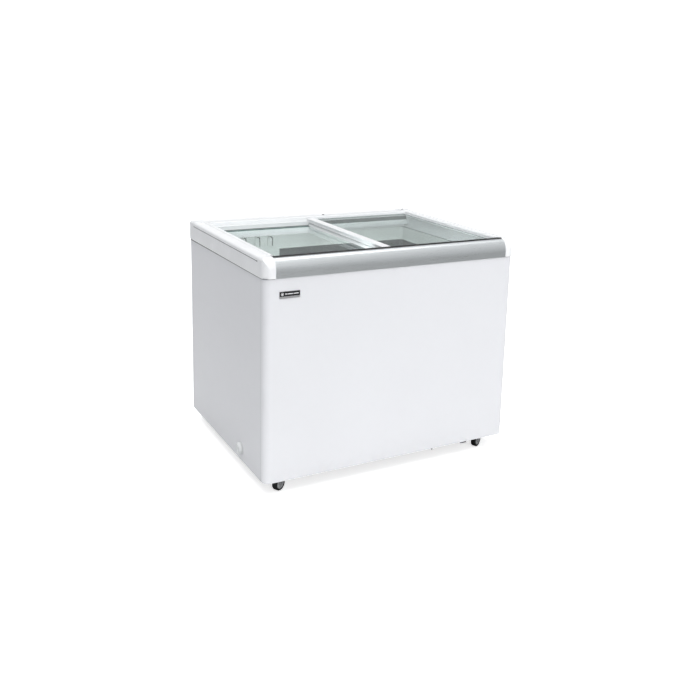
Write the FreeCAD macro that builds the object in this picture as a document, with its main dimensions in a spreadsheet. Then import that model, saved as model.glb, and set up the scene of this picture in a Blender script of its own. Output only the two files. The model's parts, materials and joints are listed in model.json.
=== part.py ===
import FreeCAD, Part
import Sketcher
import math
import os
from FreeCAD import Vector, Placement, Rotation

# Sliding-lid chest freezer, free standing on four swivel castors.
# Millimetres.  X runs along the front (left end negative), Y is depth (front
# negative), Z is up.  The origin is on the floor under the cabinet's centre.
# The top frame and the glass lids lean back slightly, rising towards the rear.

doc = FreeCAD.newDocument("chest_freezer")
sheet = doc.addObject("Spreadsheet::Sheet", "Params")

# alias, value, note
PARAMS = [
    ("cab_width", 1020.0, "cabinet width over the side panels"),
    ("cab_depth", 790.0, "cabinet depth over front and back panels"),
    ("cab_bottom", 52.0, "floor to the lower edge of the panels"),
    ("cab_top", 774.0, "floor to the seam under the top frame"),
    ("skin", 1.0, "painted sheet thickness"),
    ("base_level", 72.0, "underside of the base sheet, castor plates bolt to it"),
    ("base_gauge", 1.2, "base sheet thickness"),
    ("front_radius", 24.0, "plan radius of the front corners"),
    ("rear_radius", 12.0, "plan radius of the rear corners"),
    ("wrap_back", 30.0, "how far the front sheet wraps round the corners"),
    ("overhang", 3.0, "top frame overhang past the panels"),
    ("rake_deg", 0.4, "rise of the top towards the rear"),
    ("frame_top", 842.0, "top of the white rails"),
    ("frame_seat", 777.0, "where the rails rest on the cabinet rim"),
    ("cap_width", 43.0, "corner cap size along the front"),
    ("cap_depth", 58.0, "corner cap size along the side"),
    ("cap_corner", 28.0, "plan radius of the front corner caps"),
    ("upper_ledge", 827.0, "running level of the right lid"),
    ("lower_ledge", 803.0, "running level of the left lid"),
    ("glass", 4.0, "lid glass thickness"),
    ("open_half", 456.0, "half width between the side rails"),
    ("cavity_half", 446.0, "half width of the tub"),
    ("cavity_front", -338.0, "front wall of the tub"),
    ("cavity_rear", 312.0, "rear wall of the tub"),
    ("cavity_floor", 142.0, "tub floor"),
    ("step_start", 210.0, "where the tub floor steps up over the compressor"),
    ("step_level", 372.0, "tub floor over the compressor"),
    ("liner", 1.2, "tub sheet thickness"),
    ("tub_radius", 20.0, "corner radius of the tub"),
    ("collar_low", 725.0, "lower edge of the light collar"),
    ("room_left", 250.0, "compressor space, left wall"),
    ("room_front", -300.0, "compressor space, front wall"),
    ("room_top", 332.0, "compressor space, ceiling"),
    ("wheel_r", 25.0, "castor wheel radius"),
    ("castor_x", 426.0, "castor swivel axis from the centre"),
    ("castor_y", 345.0, "castor swivel axis from the centre"),
    ("trail", 12.0, "castor trail"),
    ("axle_r", 3.0, "castor axle radius"),
    ("run_gap", 0.06, "running clearance of turning parts"),
    ("drain_y", -182.0, "drain centre"),
    ("drain_z", 102.0, "drain centre"),
    ("dial_y", 56.0, "thermostat dial centre"),
    ("dial_z", 200.0, "thermostat dial centre"),
    ("knob_reach", 22.0, "how far drain knob and dial stand out from the panels"),
]
VALUE = {}
for row, (alias, value, note) in enumerate(PARAMS, 1):
    sheet.set("A%d" % row, alias)
    sheet.set("B%d" % row, str(value))
    sheet.setAlias("B%d" % row, alias)
    sheet.set("C%d" % row, note)
    VALUE[alias] = value
doc.recompute()


# -------------------------------------------------------- bound dimensions
class Dim:
    """A number that remembers how it follows from the spreadsheet."""

    def __init__(self, value, text):
        self.value = value
        self.text = text

    def __add__(self, other):
        return Dim(self.value + val(other), "(%s + %s)" % (self.text, term(other)))

    __radd__ = __add__

    def __sub__(self, other):
        return Dim(self.value - val(other), "(%s - %s)" % (self.text, term(other)))

    def __rsub__(self, other):
        return Dim(val(other) - self.value, "(%s - %s)" % (term(other), self.text))

    def __mul__(self, other):
        return Dim(self.value * val(other), "(%s * %s)" % (self.text, term(other)))

    def __truediv__(self, other):
        return Dim(self.value / val(other), "(%s / %s)" % (self.text, term(other)))

    def __neg__(self):
        return Dim(-self.value, "(0 - %s)" % self.text)


def val(number):
    return number.value if isinstance(number, Dim) else float(number)


def term(number):
    """Text of a number inside an expression."""
    return number.text if isinstance(number, Dim) else repr(float(number))


def dim(alias):
    return Dim(VALUE[alias], "Params." + alias)


def bind(obj, prop, number):
    if isinstance(number, Dim):
        obj.setExpression(prop, number.text)


CAB_RIGHT = dim("cab_width") / 2
CAB_LEFT = -CAB_RIGHT
CAB_REAR = dim("cab_depth") / 2
CAB_FRONT = -CAB_REAR
CAB_BOTTOM = dim("cab_bottom")
CAB_TOP = dim("cab_top")
SKIN = dim("skin")
# inner faces of the cabinet panels
INNER_RIGHT = CAB_RIGHT - SKIN
INNER_LEFT = -INNER_RIGHT
INNER_REAR = CAB_REAR - SKIN
INNER_FRONT = -INNER_REAR
FRAME_RIGHT = CAB_RIGHT + dim("overhang")
FRAME_REAR = CAB_REAR + dim("overhang")
FRAME_FRONT = -FRAME_REAR
BASE = dim("base_level")
FLOOR = BASE + dim("base_gauge")
SEAT = dim("frame_seat")
GAP = dim("run_gap")
DRAIN_Y, DRAIN_Z = dim("drain_y"), dim("drain_z")
DRAIN_R = 14.0
RISER_R = 9.0
RISER_X = CAB_LEFT + 92
DIAL_Y, DIAL_Z = dim("dial_y"), dim("dial_z")
KNOB_REACH = dim("knob_reach")
BOLT_R = 3.3
BOLT_REACH = 22.0                 # castor bolts from the swivel axis
CORNERS = ((-1, -1), (1, -1), (-1, 1), (1, 1))
AXES = {"x": Vector(1, 0, 0), "y": Vector(0, 1, 0), "z": Vector(0, 0, 1)}
ABOVE = 900.0                     # a level clear above everything


# ----------------------------------------------------------- Part helpers
def box(name, x0, x1, y0, y1, z0, z1):
    obj = doc.addObject("Part::Box", name)
    obj.Placement.Base = Vector(val(x0), val(y0), val(z0))
    for prop, axis, low, high in (("Length", "x", x0, x1), ("Width", "y", y0, y1),
                                  ("Height", "z", z0, z1)):
        setattr(obj, prop, val(high - low))
        bind(obj, prop, high - low)
        bind(obj, "Placement.Base." + axis, low)
    return obj


def cyl(name, radius, length, x, y, z, axis="z"):
    obj = doc.addObject("Part::Cylinder", name)
    obj.Radius = val(radius)
    obj.Height = val(length)
    obj.Placement = Placement(Vector(val(x), val(y), val(z)),
                              Rotation(AXES["z"], AXES[axis]))
    bind(obj, "Radius", radius)
    bind(obj, "Height", length)
    bind(obj, "Placement.Base.x", x)
    bind(obj, "Placement.Base.y", y)
    bind(obj, "Placement.Base.z", z)
    return obj


def fuse(name, parts):
    obj = doc.addObject("Part::MultiFuse", name)
    obj.Shapes = parts
    obj.Refine = True
    return obj


def cut(name, base, tools):
    obj = doc.addObject("Part::Cut", name)
    obj.Base = base
    obj.Tool = tools[0] if len(tools) == 1 else fuse(name + "_tools", tools)
    return obj


def common(name, base, tool):
    obj = doc.addObject("Part::Common", name)
    obj.Base = base
    obj.Tool = tool
    return obj


def group(name, parts):
    obj = doc.addObject("Part::Compound", name)
    obj.Links = parts
    return obj


def fillet(name, base, radius, pick):
    """Round the edges of base chosen by pick(edge)."""
    doc.recompute()
    obj = doc.addObject("Part::Fillet", name)
    obj.Base = base
    size = val(radius)
    obj.Edges = [(i, size, size) for i, edge in enumerate(base.Shape.Edges, 1) if pick(edge)]
    return obj


def upright(edge):
    return abs(edge.tangentAt(edge.FirstParameter).z) > 0.9


# --------------------------------------------------------- sketch helpers
# A loop is ("circle", radius, u, v) or a list of vertices (u, v) or
# (u, v, (radius, centre u, centre v, counter-clockwise)); the third item makes
# the edge that leaves the vertex an arc.  YZ, XZ and XY sketches use the two
# named axes as u and v.
def circle(radius, u, v):
    return ("circle", radius, u, v)


def rect(u0, u1, v0, v1):
    return [(u0, v0), (u1, v0), (u1, v1), (u0, v1)]


def add_edge(sk, vertex, following, fix):
    """Draw the edge that leaves vertex; return its geometry, start and end points."""
    start = Vector(val(vertex[0]), val(vertex[1]), 0)
    end = Vector(val(following[0]), val(following[1]), 0)
    if len(vertex) == 2:
        return sk.addGeometry(Part.LineSegment(start, end), False), 1, 2
    radius, centre_u, centre_v, ccw = vertex[2]
    centre = Vector(val(centre_u), val(centre_v), 0)
    first, last = [math.atan2(p.y - centre.y, p.x - centre.x)
                   for p in ((start, end) if ccw else (end, start))]
    if last <= first:
        last += 2 * math.pi
    full = Part.Circle(centre, AXES["z"], val(radius))
    geo = sk.addGeometry(Part.ArcOfCircle(full, first, last), False)
    # the centre lies on the chord's bisector: one coordinate fixes it
    if abs(end.x - start.x) > abs(end.y - start.y):
        fix("DistanceY", geo, 3, centre_v)
    else:
        fix("DistanceX", geo, 3, centre_u)
    return (geo, 1, 2) if ccw else (geo, 2, 1)


def sketch(body, tag, plane, offset, loops):
    """Fully placed closed loops on a plane of the body's origin."""
    sk = body.newObject("Sketcher::SketchObject", "%s_%s_sk" % (body.Name, tag))
    support = [f for f in body.Origin.OriginFeatures if f.Role == plane + "_Plane"]
    sk.AttachmentSupport = [(support[0], "")]
    sk.MapMode = "FlatFace"
    sk.AttachmentOffset = Placement(Vector(0, 0, val(offset)), Rotation())
    bind(sk, "AttachmentOffset.Base.z", offset)
    links = []

    def fix(kind, *target):
        """Add a constraint; the last item of target is its value."""
        constraint = Sketcher.Constraint(kind, *target[:-1], val(target[-1]))
        links.append((sk.addConstraint(constraint), target[-1]))

    for loop in loops:
        if loop[0] == "circle":
            radius, u, v = loop[1:]
            geo = sk.addGeometry(Part.Circle(Vector(val(u), val(v), 0), AXES["z"],
                                             val(radius)), False)
            fix("Radius", geo, radius)
            fix("DistanceX", geo, 3, u)
            fix("DistanceY", geo, 3, v)
            continue
        edges = [add_edge(sk, vertex, following, fix)
                 for vertex, following in zip(loop, loop[1:] + loop[:1])]
        for i, vertex in enumerate(loop):
            geo, start, _ = edges[i]
            before, _, before_end = edges[i - 1]
            sk.addConstraint(Sketcher.Constraint("Coincident", before, before_end, geo, start))
            fix("DistanceX", geo, start, vertex[0])
            fix("DistanceY", geo, start, vertex[1])
    for index, number in links:
        bind(sk, "Constraints[%d]" % index, number)
    return sk


def extrude(kind, body, tag, plane, offset, length, loops):
    profile = sketch(body, tag, plane, offset, loops)
    feature = body.newObject("PartDesign::" + kind, body.Name + "_" + tag)
    feature.Profile = profile
    feature.Length = val(length)
    bind(feature, "Length", length)
    return feature


# Pads and pockets span low to high on the axis across the plane.  An XZ sketch
# faces the front, so its offset is minus y; pockets run against the facing.
def pad(body, tag, plane, low, high, *loops):
    offset = -high if plane == "XZ" else low
    return extrude("Pad", body, tag, plane, offset, high - low, loops)


def pocket(body, tag, plane, low, high, *loops):
    offset = -low if plane == "XZ" else high
    return extrude("Pocket", body, tag, plane, offset, high - low, loops)


def revolve(body, tag, plane, outline):
    """Turn an outline of (radius, height) vertices round the sketch's upright axis."""
    profile = sketch(body, tag, plane, 0.0, [outline])
    feature = body.newObject("PartDesign::Revolution", body.Name + "_" + tag)
    feature.Profile = profile
    feature.ReferenceAxis = (profile, ["V_Axis"])
    feature.Angle = 360.0


NODES = []


def keep(obj):
    """Export the object under its label."""
    NODES.append(obj)


def new_body(name):
    return doc.addObject("PartDesign::Body", name + "_body")


def piece(name):
    """A body that is exported as it stands."""
    body = new_body(name)
    body.Label = name
    keep(body)
    return body


def inward(side, face):
    """Return x as a function of depth inside the right (1) or left (-1) face."""
    return lambda depth: (face - depth) * side


# ------------------------------------------------------------------ cabinet
PANEL_TOP = CAB_TOP + 2
BACK_RETURN = 40.0                # side sheets reach this far along the back
BACK_EDGE = CAB_RIGHT - (BACK_RETURN + 0.5)

# Front sheet: one piece wrapped round both front corners.
radius = dim("front_radius")
wrap_end = CAB_FRONT + dim("wrap_back")
turn_left, turn_right = CAB_LEFT + radius, CAB_RIGHT - radius
turn_y = CAB_FRONT + radius
body = piece("front_panel")
pad(body, "wall", "XY", CAB_BOTTOM, PANEL_TOP, [
    (CAB_LEFT, wrap_end), (CAB_LEFT, turn_y, (radius, turn_left, turn_y, True)),
    (turn_left, CAB_FRONT), (turn_right, CAB_FRONT, (radius, turn_right, turn_y, True)),
    (CAB_RIGHT, turn_y), (CAB_RIGHT, wrap_end), (INNER_RIGHT, wrap_end),
    (INNER_RIGHT, turn_y, (radius - SKIN, turn_right, turn_y, False)),
    (turn_right, INNER_FRONT),
    (turn_left, INNER_FRONT, (radius - SKIN, turn_left, turn_y, False)),
    (INNER_LEFT, turn_y), (INNER_LEFT, wrap_end),
])


def side_sheet(name, side):
    """Side sheet; its rear end wraps round onto the back."""
    body = piece(name)
    x_at = inward(side, CAB_RIGHT)
    radius = dim("rear_radius")
    front = CAB_FRONT + dim("wrap_back") + 0.8
    turn_x, turn_y = x_at(radius), CAB_REAR - radius
    ccw = side > 0
    pad(body, "wall", "XY", CAB_BOTTOM, PANEL_TOP, [
        (x_at(0), front), (x_at(0), turn_y, (radius, turn_x, turn_y, ccw)),
        (turn_x, CAB_REAR), (x_at(BACK_RETURN), CAB_REAR), (x_at(BACK_RETURN), INNER_REAR),
        (turn_x, INNER_REAR, (radius - SKIN, turn_x, turn_y, not ccw)),
        (x_at(SKIN), turn_y), (x_at(SKIN), front),
    ])
    return body


def grille_rect(grow):
    """Outline of the grille hole in the right side, grown all round."""
    return rect(110.0 - grow, 330.0 + grow, 110.0 - grow, 290.0 + grow)


body = side_sheet("left_side_panel", -1)
pocket(body, "drain_hole", "YZ", CAB_LEFT - 1, CAB_LEFT + 3,
       circle(DRAIN_R, DRAIN_Y, DRAIN_Z))

body = side_sheet("right_side_panel", 1)
pocket(body, "grille_hole", "YZ", CAB_RIGHT - 3, CAB_RIGHT + 1, grille_rect(0))
pocket(body, "dial_hole", "YZ", CAB_RIGHT - 3, CAB_RIGHT + 1, circle(8.0, DIAL_Y, DIAL_Z))

# Back sheet between the two wraps, with the opening to the compressor space.
body = piece("back_panel")
pad(body, "wall", "XZ", INNER_REAR, CAB_REAR,
    rect(-BACK_EDGE, BACK_EDGE, CAB_BOTTOM, PANEL_TOP))
pocket(body, "room_hole", "XZ", CAB_REAR - 3, CAB_REAR + 1,
       rect(dim("room_left") + 12, BACK_EDGE - 14, 92.0, 312.0))

# Base sheet: lies inside the panels, with the castor bolt holes.
FRONT_CHAMFER = 24.0
REAR_CHAMFER = 14.0
body = piece("base_panel")
pad(body, "sheet", "XY", BASE, FLOOR, [
    (INNER_LEFT, INNER_FRONT + FRONT_CHAMFER), (INNER_LEFT + FRONT_CHAMFER, INNER_FRONT),
    (INNER_RIGHT - FRONT_CHAMFER, INNER_FRONT), (INNER_RIGHT, INNER_FRONT + FRONT_CHAMFER),
    (INNER_RIGHT, INNER_REAR - REAR_CHAMFER), (INNER_RIGHT - REAR_CHAMFER, INNER_REAR),
    (INNER_LEFT + REAR_CHAMFER, INNER_REAR), (INNER_LEFT, INNER_REAR - REAR_CHAMFER),
])
for i, (side_x, side_y) in enumerate(CORNERS):
    for j, (bolt_x, bolt_y) in enumerate(CORNERS):
        pocket(body, "bolt%d%d" % (i, j), "XY", BASE - 2, BASE + 2,
               circle(BOLT_R, dim("castor_x") * side_x + BOLT_REACH * bolt_x,
                      dim("castor_y") * side_y + BOLT_REACH * bolt_y))

# ------------------------------------------------------- insulation and tub
LINER = dim("liner")
TUB_HALF = dim("cavity_half")
TUB_FRONT = dim("cavity_front")
TUB_REAR = dim("cavity_rear")
TUB_FLOOR = dim("cavity_floor")
STEP_X = dim("step_start")
STEP_Z = dim("step_level")
RIM = SEAT - 1
FOAM_FRONT_R = 24.0
FOAM_REAR_R = 14.0
COIL_ROOM = 11.0                  # depth of the coil recess round the tub


def tub_block(name, inset, low, high):
    """Block on the tub's plan, drawn in by inset, with rounded upright edges."""
    half = TUB_HALF - inset
    block = box(name, -half, half, TUB_FRONT + inset, TUB_REAR - inset, low, high)
    return fillet(name + "_round", block, dim("tub_radius") - inset, upright)


def step_block(name, left, low, high):
    """Block that takes the step out of a tub shape, clear of its front and rear."""
    return box(name, left, CAB_RIGHT, TUB_FRONT - 200, TUB_REAR + 200, low, high)


def riser(name, radius, length=60.0):
    """Upright cylinder on the drain's vertical leg."""
    return cyl(name, radius, length, RISER_X, DRAIN_Y, DRAIN_Z)


block = box("foam_block", INNER_LEFT, INNER_RIGHT, INNER_FRONT, INNER_REAR, FLOOR, RIM)
block = fillet("foam_front", block, FOAM_FRONT_R,
               lambda e: upright(e) and e.CenterOfMass.y < 0)
block = fillet("foam_rear", block, FOAM_REAR_R,
               lambda e: upright(e) and e.CenterOfMass.y > 0
               and abs(abs(e.CenterOfMass.x) - val(INNER_RIGHT)) < 1)
tub = tub_block("foam_tub", -LINER, TUB_FLOOR - LINER, ABOVE)
step = step_block("foam_step", STEP_X - LINER, BASE - 10, STEP_Z - LINER)
hollow = cut("foam_tub_stepped", tub, [step])
coil_recess = box("foam_coil_recess", -TUB_HALF - COIL_ROOM, TUB_HALF + COIL_ROOM,
                  TUB_FRONT - COIL_ROOM, TUB_REAR + COIL_ROOM, 430.0, 690.0)
room = box("foam_room", dim("room_left"), CAB_RIGHT, dim("room_front"), CAB_REAR,
           0.0, dim("room_top"))
drain_run = cyl("foam_drain_h", DRAIN_R, 104.0, CAB_LEFT, DRAIN_Y, DRAIN_Z, "x")
drain_riser = riser("foam_drain_v", RISER_R)
keep(cut("insulation_foam", block, [hollow, coil_recess, room, drain_run, drain_riser]))

# Tub sheet, with a flat lip on the rim of the foam.
outside = cut("liner_outer", tub_block("liner_o1", -LINER, TUB_FLOOR - LINER, RIM),
              [step_block("liner_o2", STEP_X - LINER, 0.0, STEP_Z - LINER)])
inside = cut("liner_inner", tub_block("liner_i1", 0.0, TUB_FLOOR, ABOVE),
             [step_block("liner_i2x", STEP_X - LINER * 2, 0.0, STEP_Z)])
lip = box("liner_lip", INNER_LEFT + 9, INNER_RIGHT - 9, INNER_FRONT + 9, INNER_REAR - 9,
          RIM, SEAT)
keep(cut("inner_liner", fuse("liner_solid", [outside, lip]),
         [inside, riser("liner_drain", RISER_R)]))

# Light collar round the mouth of the tub, with a small ledge under it.
COLLAR_LOW = dim("collar_low")
collar_wall = cut("collar_wall", tub_block("collar_o", 0.0, COLLAR_LOW, SEAT),
                  [tub_block("collar_i", 3.0, COLLAR_LOW - 5, ABOVE)])
collar_ledge = cut("collar_ledge", tub_block("collar_lo", 0.0, COLLAR_LOW - 4, COLLAR_LOW),
                   [tub_block("collar_li", 6.0, COLLAR_LOW - 9, ABOVE)])
keep(fuse("liner_collar", [collar_wall, collar_ledge]))

# Air cover at the left end of the rear wall: a plate with three arched hoods.
COVER_X = (-424.0, -156.0)
COVER_LOW, COVER_TOP = 560.0, 776.0
HOOD_LOW, HOOD_SPRING = 736.0, 768.0
HOOD_R, MOUTH_R = 13.0, 9.5


def arch(x, radius):
    """Upright slot outline with a half-round top."""
    return [(x - radius, HOOD_LOW), (x + radius, HOOD_LOW),
            (x + radius, HOOD_SPRING, (radius, x, HOOD_SPRING, True)),
            (x - radius, HOOD_SPRING)]


body = piece("air_cover")
plate_rear = TUB_REAR - 6
plate_front = plate_rear - 2.5
pad(body, "plate", "XZ", plate_front, plate_rear, rect(*COVER_X, COVER_LOW, COVER_TOP))
pad(body, "lower", "XZ", plate_rear, TUB_REAR, rect(*COVER_X, COVER_LOW, COLLAR_LOW - 4.1))
pad(body, "upper", "XZ", plate_rear, TUB_REAR - 3,
    rect(*COVER_X, COLLAR_LOW + 0.1, COVER_TOP))
for i, x in enumerate((-313.0, -253.0, -197.0)):
    pad(body, "hood%d" % i, "XZ", plate_front - 5, plate_front, arch(x, HOOD_R))
    pocket(body, "mouth%d" % i, "XZ", plate_rear - 9, plate_rear + 3, arch(x, MOUTH_R))

# ---------------------------------------------------------------- top frame
UPPER = dim("upper_ledge")
LOWER = dim("lower_ledge")
OPEN = dim("open_half")
FRAME_TOP = dim("frame_top")
CAP_WIDTH, CAP_DEPTH = dim("cap_width"), dim("cap_depth")
RAIL_END = FRAME_RIGHT - CAP_WIDTH
FACE_TOP = CAB_TOP + 22           # top of the front rail's upright face


def rake_placement():
    """Lean back about the front lower edge of the top frame."""
    angle = math.radians(VALUE["rake_deg"])
    y, z = val(FRAME_FRONT), val(CAB_TOP)
    return Placement(Vector(0, y - (y * math.cos(angle) - z * math.sin(angle)),
                            z - (y * math.sin(angle) + z * math.cos(angle))),
                     Rotation(AXES["x"], VALUE["rake_deg"]))


def rake(body):
    body.Placement = rake_placement()
    terms = {"y": FRAME_FRONT.text, "z": CAB_TOP.text, "a": "(Params.rake_deg * 1 deg)"}
    body.setExpression("Placement.Base.y",
                       "%(y)s - (%(y)s * cos(%(a)s) - %(z)s * sin(%(a)s))" % terms)
    body.setExpression("Placement.Base.z",
                       "%(z)s - (%(y)s * sin(%(a)s) + %(z)s * cos(%(a)s))" % terms)


def seated(name, body):
    """Trim the leaned-back piece level with the seam and the cabinet rim."""
    reach = 700.0
    below = box(name + "_below", -reach, reach, -reach, reach, 600.0, CAB_TOP)
    rim = box(name + "_rim", CAB_LEFT - 0.5, CAB_RIGHT + 0.5,
              CAB_FRONT - 0.5, CAB_REAR + 0.5, 600.0, SEAT)
    keep(cut(name, body, [below, rim]))


# front rail: 2 mm aluminium skin, upright below, rounded and leaning back above
body = new_body("front_rail")
pad(body, "skin", "YZ", -RAIL_END, RAIL_END, [
    (FRAME_FRONT, CAB_TOP - 6), (FRAME_FRONT + 2, CAB_TOP - 6),
    (FRAME_FRONT + 2, FACE_TOP, (58.0, FRAME_FRONT + 60, FACE_TOP, False)),
    (FRAME_FRONT + 13.6, FACE_TOP + 34.8, (18.0, FRAME_FRONT + 28, FACE_TOP + 24, False)),
    (FRAME_FRONT + 28, FACE_TOP + 42), (FRAME_FRONT + 30, FACE_TOP + 42),
    (FRAME_FRONT + 30, FACE_TOP + 44),
    (FRAME_FRONT + 28, FACE_TOP + 44, (20.0, FRAME_FRONT + 28, FACE_TOP + 24, True)),
    (FRAME_FRONT + 12, FACE_TOP + 36, (60.0, FRAME_FRONT + 60, FACE_TOP, True)),
    (FRAME_FRONT, FACE_TOP),
])
rake(body)
seated("front_rail", body)

# black runner behind it: core of the rail, raised lip, then the two ledges
body = new_body("front_track")
pad(body, "core", "YZ", -RAIL_END, RAIL_END, [
    (FRAME_FRONT + 2, CAB_TOP - 6), (FRAME_FRONT + CAP_DEPTH, CAB_TOP - 6),
    (FRAME_FRONT + CAP_DEPTH, LOWER), (FRAME_FRONT + 53, LOWER),
    (FRAME_FRONT + 53, UPPER), (FRAME_FRONT + 39, UPPER),
    (FRAME_FRONT + 39, FACE_TOP + 46), (FRAME_FRONT + 37.5, FACE_TOP + 47.5),
    (FRAME_FRONT + 31.5, FACE_TOP + 47.5), (FRAME_FRONT + 30, FACE_TOP + 46),
    (FRAME_FRONT + 30, FACE_TOP + 42), (FRAME_FRONT + 28, FACE_TOP + 42),
    (FRAME_FRONT + 13.6, FACE_TOP + 34.8), (FRAME_FRONT + 2, FACE_TOP),
], rect(FRAME_FRONT + 8, FRAME_FRONT + 47, CAB_TOP + 8, CAB_TOP + 22))
pad(body, "ledge", "YZ", -OPEN, OPEN,
    rect(FRAME_FRONT + 50, FRAME_FRONT + 65, CAB_TOP - 6, LOWER))
rake(body)
seated("front_track", body)

# rear rail with the matching pair of ledges
UPPER_WALL = FRAME_REAR - 93      # wall behind the right lid
LOWER_WALL = FRAME_REAR - 107     # wall behind the left lid
body = new_body("rear_rail")
pad(body, "profile", "YZ", -OPEN, OPEN, [
    (LOWER_WALL - 12, 790.0), (FRAME_REAR - 86, 790.0), (FRAME_REAR - 86, CAB_TOP - 12),
    (FRAME_REAR, CAB_TOP - 12), (FRAME_REAR, 824.0), (FRAME_REAR - 2, 824.0),
    (FRAME_REAR - 2, 826.0), (FRAME_REAR - 0.5, 826.0),
    (FRAME_REAR - 0.5, FRAME_TOP - 12, (10.0, FRAME_REAR - 10.5, FRAME_TOP - 12, True)),
    (FRAME_REAR - 10.5, FRAME_TOP - 2), (FRAME_REAR - 20, FRAME_TOP - 2),
    (FRAME_REAR - 26, FRAME_TOP - 4), (FRAME_REAR - 70, FRAME_TOP - 4),
    (FRAME_REAR - 76, FRAME_TOP), (FRAME_REAR - 86, FRAME_TOP),
    (FRAME_REAR - 88, FRAME_TOP - 2), (FRAME_REAR - 88, FRAME_TOP - 7),
    (UPPER_WALL, FRAME_TOP - 7), (UPPER_WALL, UPPER), (LOWER_WALL, UPPER),
    (LOWER_WALL, LOWER), (LOWER_WALL - 12, LOWER),
], rect(FRAME_REAR - 78, FRAME_REAR - 8, CAB_TOP + 14, FRAME_TOP - 14))
rake(body)
seated("rear_rail", body)


def side_rail(name, side):
    """Hollow rail between the corner caps."""
    x_at = inward(side, FRAME_RIGHT)
    mouth = x_at(FRAME_RIGHT - OPEN)
    section = [
        (x_at(0), CAB_TOP - 12), (x_at(0), 824.0), (x_at(2), 824.0), (x_at(2), 826.0),
        (x_at(0.5), 826.0),
        (x_at(0.5), FRAME_TOP - 10, (8.0, x_at(8.5), FRAME_TOP - 10, side > 0)),
        (x_at(8.5), FRAME_TOP - 2), (x_at(13), FRAME_TOP - 2), (x_at(17), FRAME_TOP - 6.5),
        (x_at(40), FRAME_TOP - 4), (x_at(44), FRAME_TOP - 0.5), (x_at(46), FRAME_TOP),
        (x_at(54), FRAME_TOP), (mouth, FRAME_TOP - 3), (mouth, 812.0), (mouth, CAB_TOP - 12),
    ]
    body = new_body(name)
    pad(body, "profile", "XZ", FRAME_FRONT + CAP_DEPTH, FRAME_REAR - CAP_DEPTH,
        section, rect(x_at(6), x_at(50), CAB_TOP + 14, FRAME_TOP - 12))
    rake(body)
    seated(name, body)


def front_cap(name, side):
    """Moulded corner: the rail's profile to the front, an upright face to the side."""
    x_at = inward(side, FRAME_RIGHT)
    ccw = side > 0
    cap_rear = FRAME_FRONT + CAP_DEPTH
    # profile that carries the front rail's section round to the corner
    front = new_body(name + "_front")
    left = RAIL_END if side > 0 else -FRAME_RIGHT
    pad(front, "front", "YZ", left, left + CAP_WIDTH, [
        (FRAME_FRONT, CAB_TOP - 12), (cap_rear, CAB_TOP - 12), (cap_rear, FRAME_TOP),
        (FRAME_FRONT + 30, FRAME_TOP),
        (FRAME_FRONT + 28, FACE_TOP + 44, (20.0, FRAME_FRONT + 28, FACE_TOP + 24, True)),
        (FRAME_FRONT + 12, FACE_TOP + 36, (60.0, FRAME_FRONT + 60, FACE_TOP, True)),
        (FRAME_FRONT, FACE_TOP),
    ])
    rake(front)
    # profile seen from the front: upright outside, softened top edge
    face = new_body(name + "_side")
    pad(face, "side", "XZ", FRAME_FRONT, cap_rear, [
        (x_at(0), CAB_TOP - 12),
        (x_at(0), FRAME_TOP - 12, (11.0, x_at(11), FRAME_TOP - 12, ccw)),
        (x_at(11), FRAME_TOP - 1), (x_at(30), FRAME_TOP),
        (x_at(CAP_WIDTH), FRAME_TOP), (x_at(CAP_WIDTH), CAB_TOP - 12),
    ])
    rake(face)
    # plan with the round corner
    radius = dim("cap_corner")
    turn_y = FRAME_FRONT + radius
    plan = new_body(name + "_plan")
    pad(plan, "plan", "XY", 740.0, ABOVE, [
        (x_at(CAP_WIDTH), FRAME_FRONT),
        (x_at(radius), FRAME_FRONT, (radius, x_at(radius), turn_y, ccw)),
        (x_at(0), turn_y), (x_at(0), cap_rear), (x_at(CAP_WIDTH), cap_rear),
    ])
    rake(plan)
    profiles = common(name + "_profiles", front, face)
    seated(name, common(name + "_corner", profiles, plan))


def rear_cap(name, side):
    """Upright block with rounded outer corner and softened top."""
    body = new_body(name)
    radius = 14.0
    x_at = inward(side, FRAME_RIGHT)
    width = FRAME_RIGHT - OPEN
    cap_front = FRAME_REAR - CAP_DEPTH
    turn_y = FRAME_REAR - radius
    block = pad(body, "block", "XY", CAB_TOP - 12, FRAME_TOP, [
        (x_at(0), cap_front), (x_at(0), turn_y, (radius, x_at(radius), turn_y, side > 0)),
        (x_at(radius), FRAME_REAR), (x_at(width), FRAME_REAR), (x_at(width), cap_front),
    ])
    doc.recompute()
    # outer top edges only: not those against the side rail and the opening
    edges = []
    for i, edge in enumerate(block.Shape.Edges, 1):
        centre = edge.CenterOfMass
        on_top = abs(centre.z - val(FRAME_TOP)) < 0.01
        at_rail = abs(centre.y - val(cap_front)) < 0.5
        at_opening = abs(abs(centre.x) - val(OPEN)) < 0.5
        if on_top and not at_rail and not at_opening:
            edges.append("Edge%d" % i)
    soft = body.newObject("PartDesign::Fillet", name + "_soft")
    soft.Base = (block, edges)
    soft.Radius = 9.0
    rake(body)
    seated(name, body)


for end, side in (("left", -1), ("right", 1)):
    side_rail(end + "_rail", side)
    front_cap("front_%s_corner_cap" % end, side)
    rear_cap("rear_%s_corner_cap" % end, side)

# two screws through the rear rail: x, depth below the frame's top
screws = []
for i, (x, drop) in enumerate(((71.0, 4.0), (471.0, 0.0))):
    body = new_body("rail_screw%d" % i)
    revolve(body, "head", "XZ", [(0.0, 0.0), (4.5, 0.0), (4.5, 1.2), (3.0, 2.4), (0.0, 2.4)])
    spot = Vector(x, val(FRAME_REAR - 40), val(FRAME_TOP - drop))
    body.Placement = rake_placement().multiply(Placement(spot, Rotation()))
    screws.append(body)
keep(group("rail_screws", screws))

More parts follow.
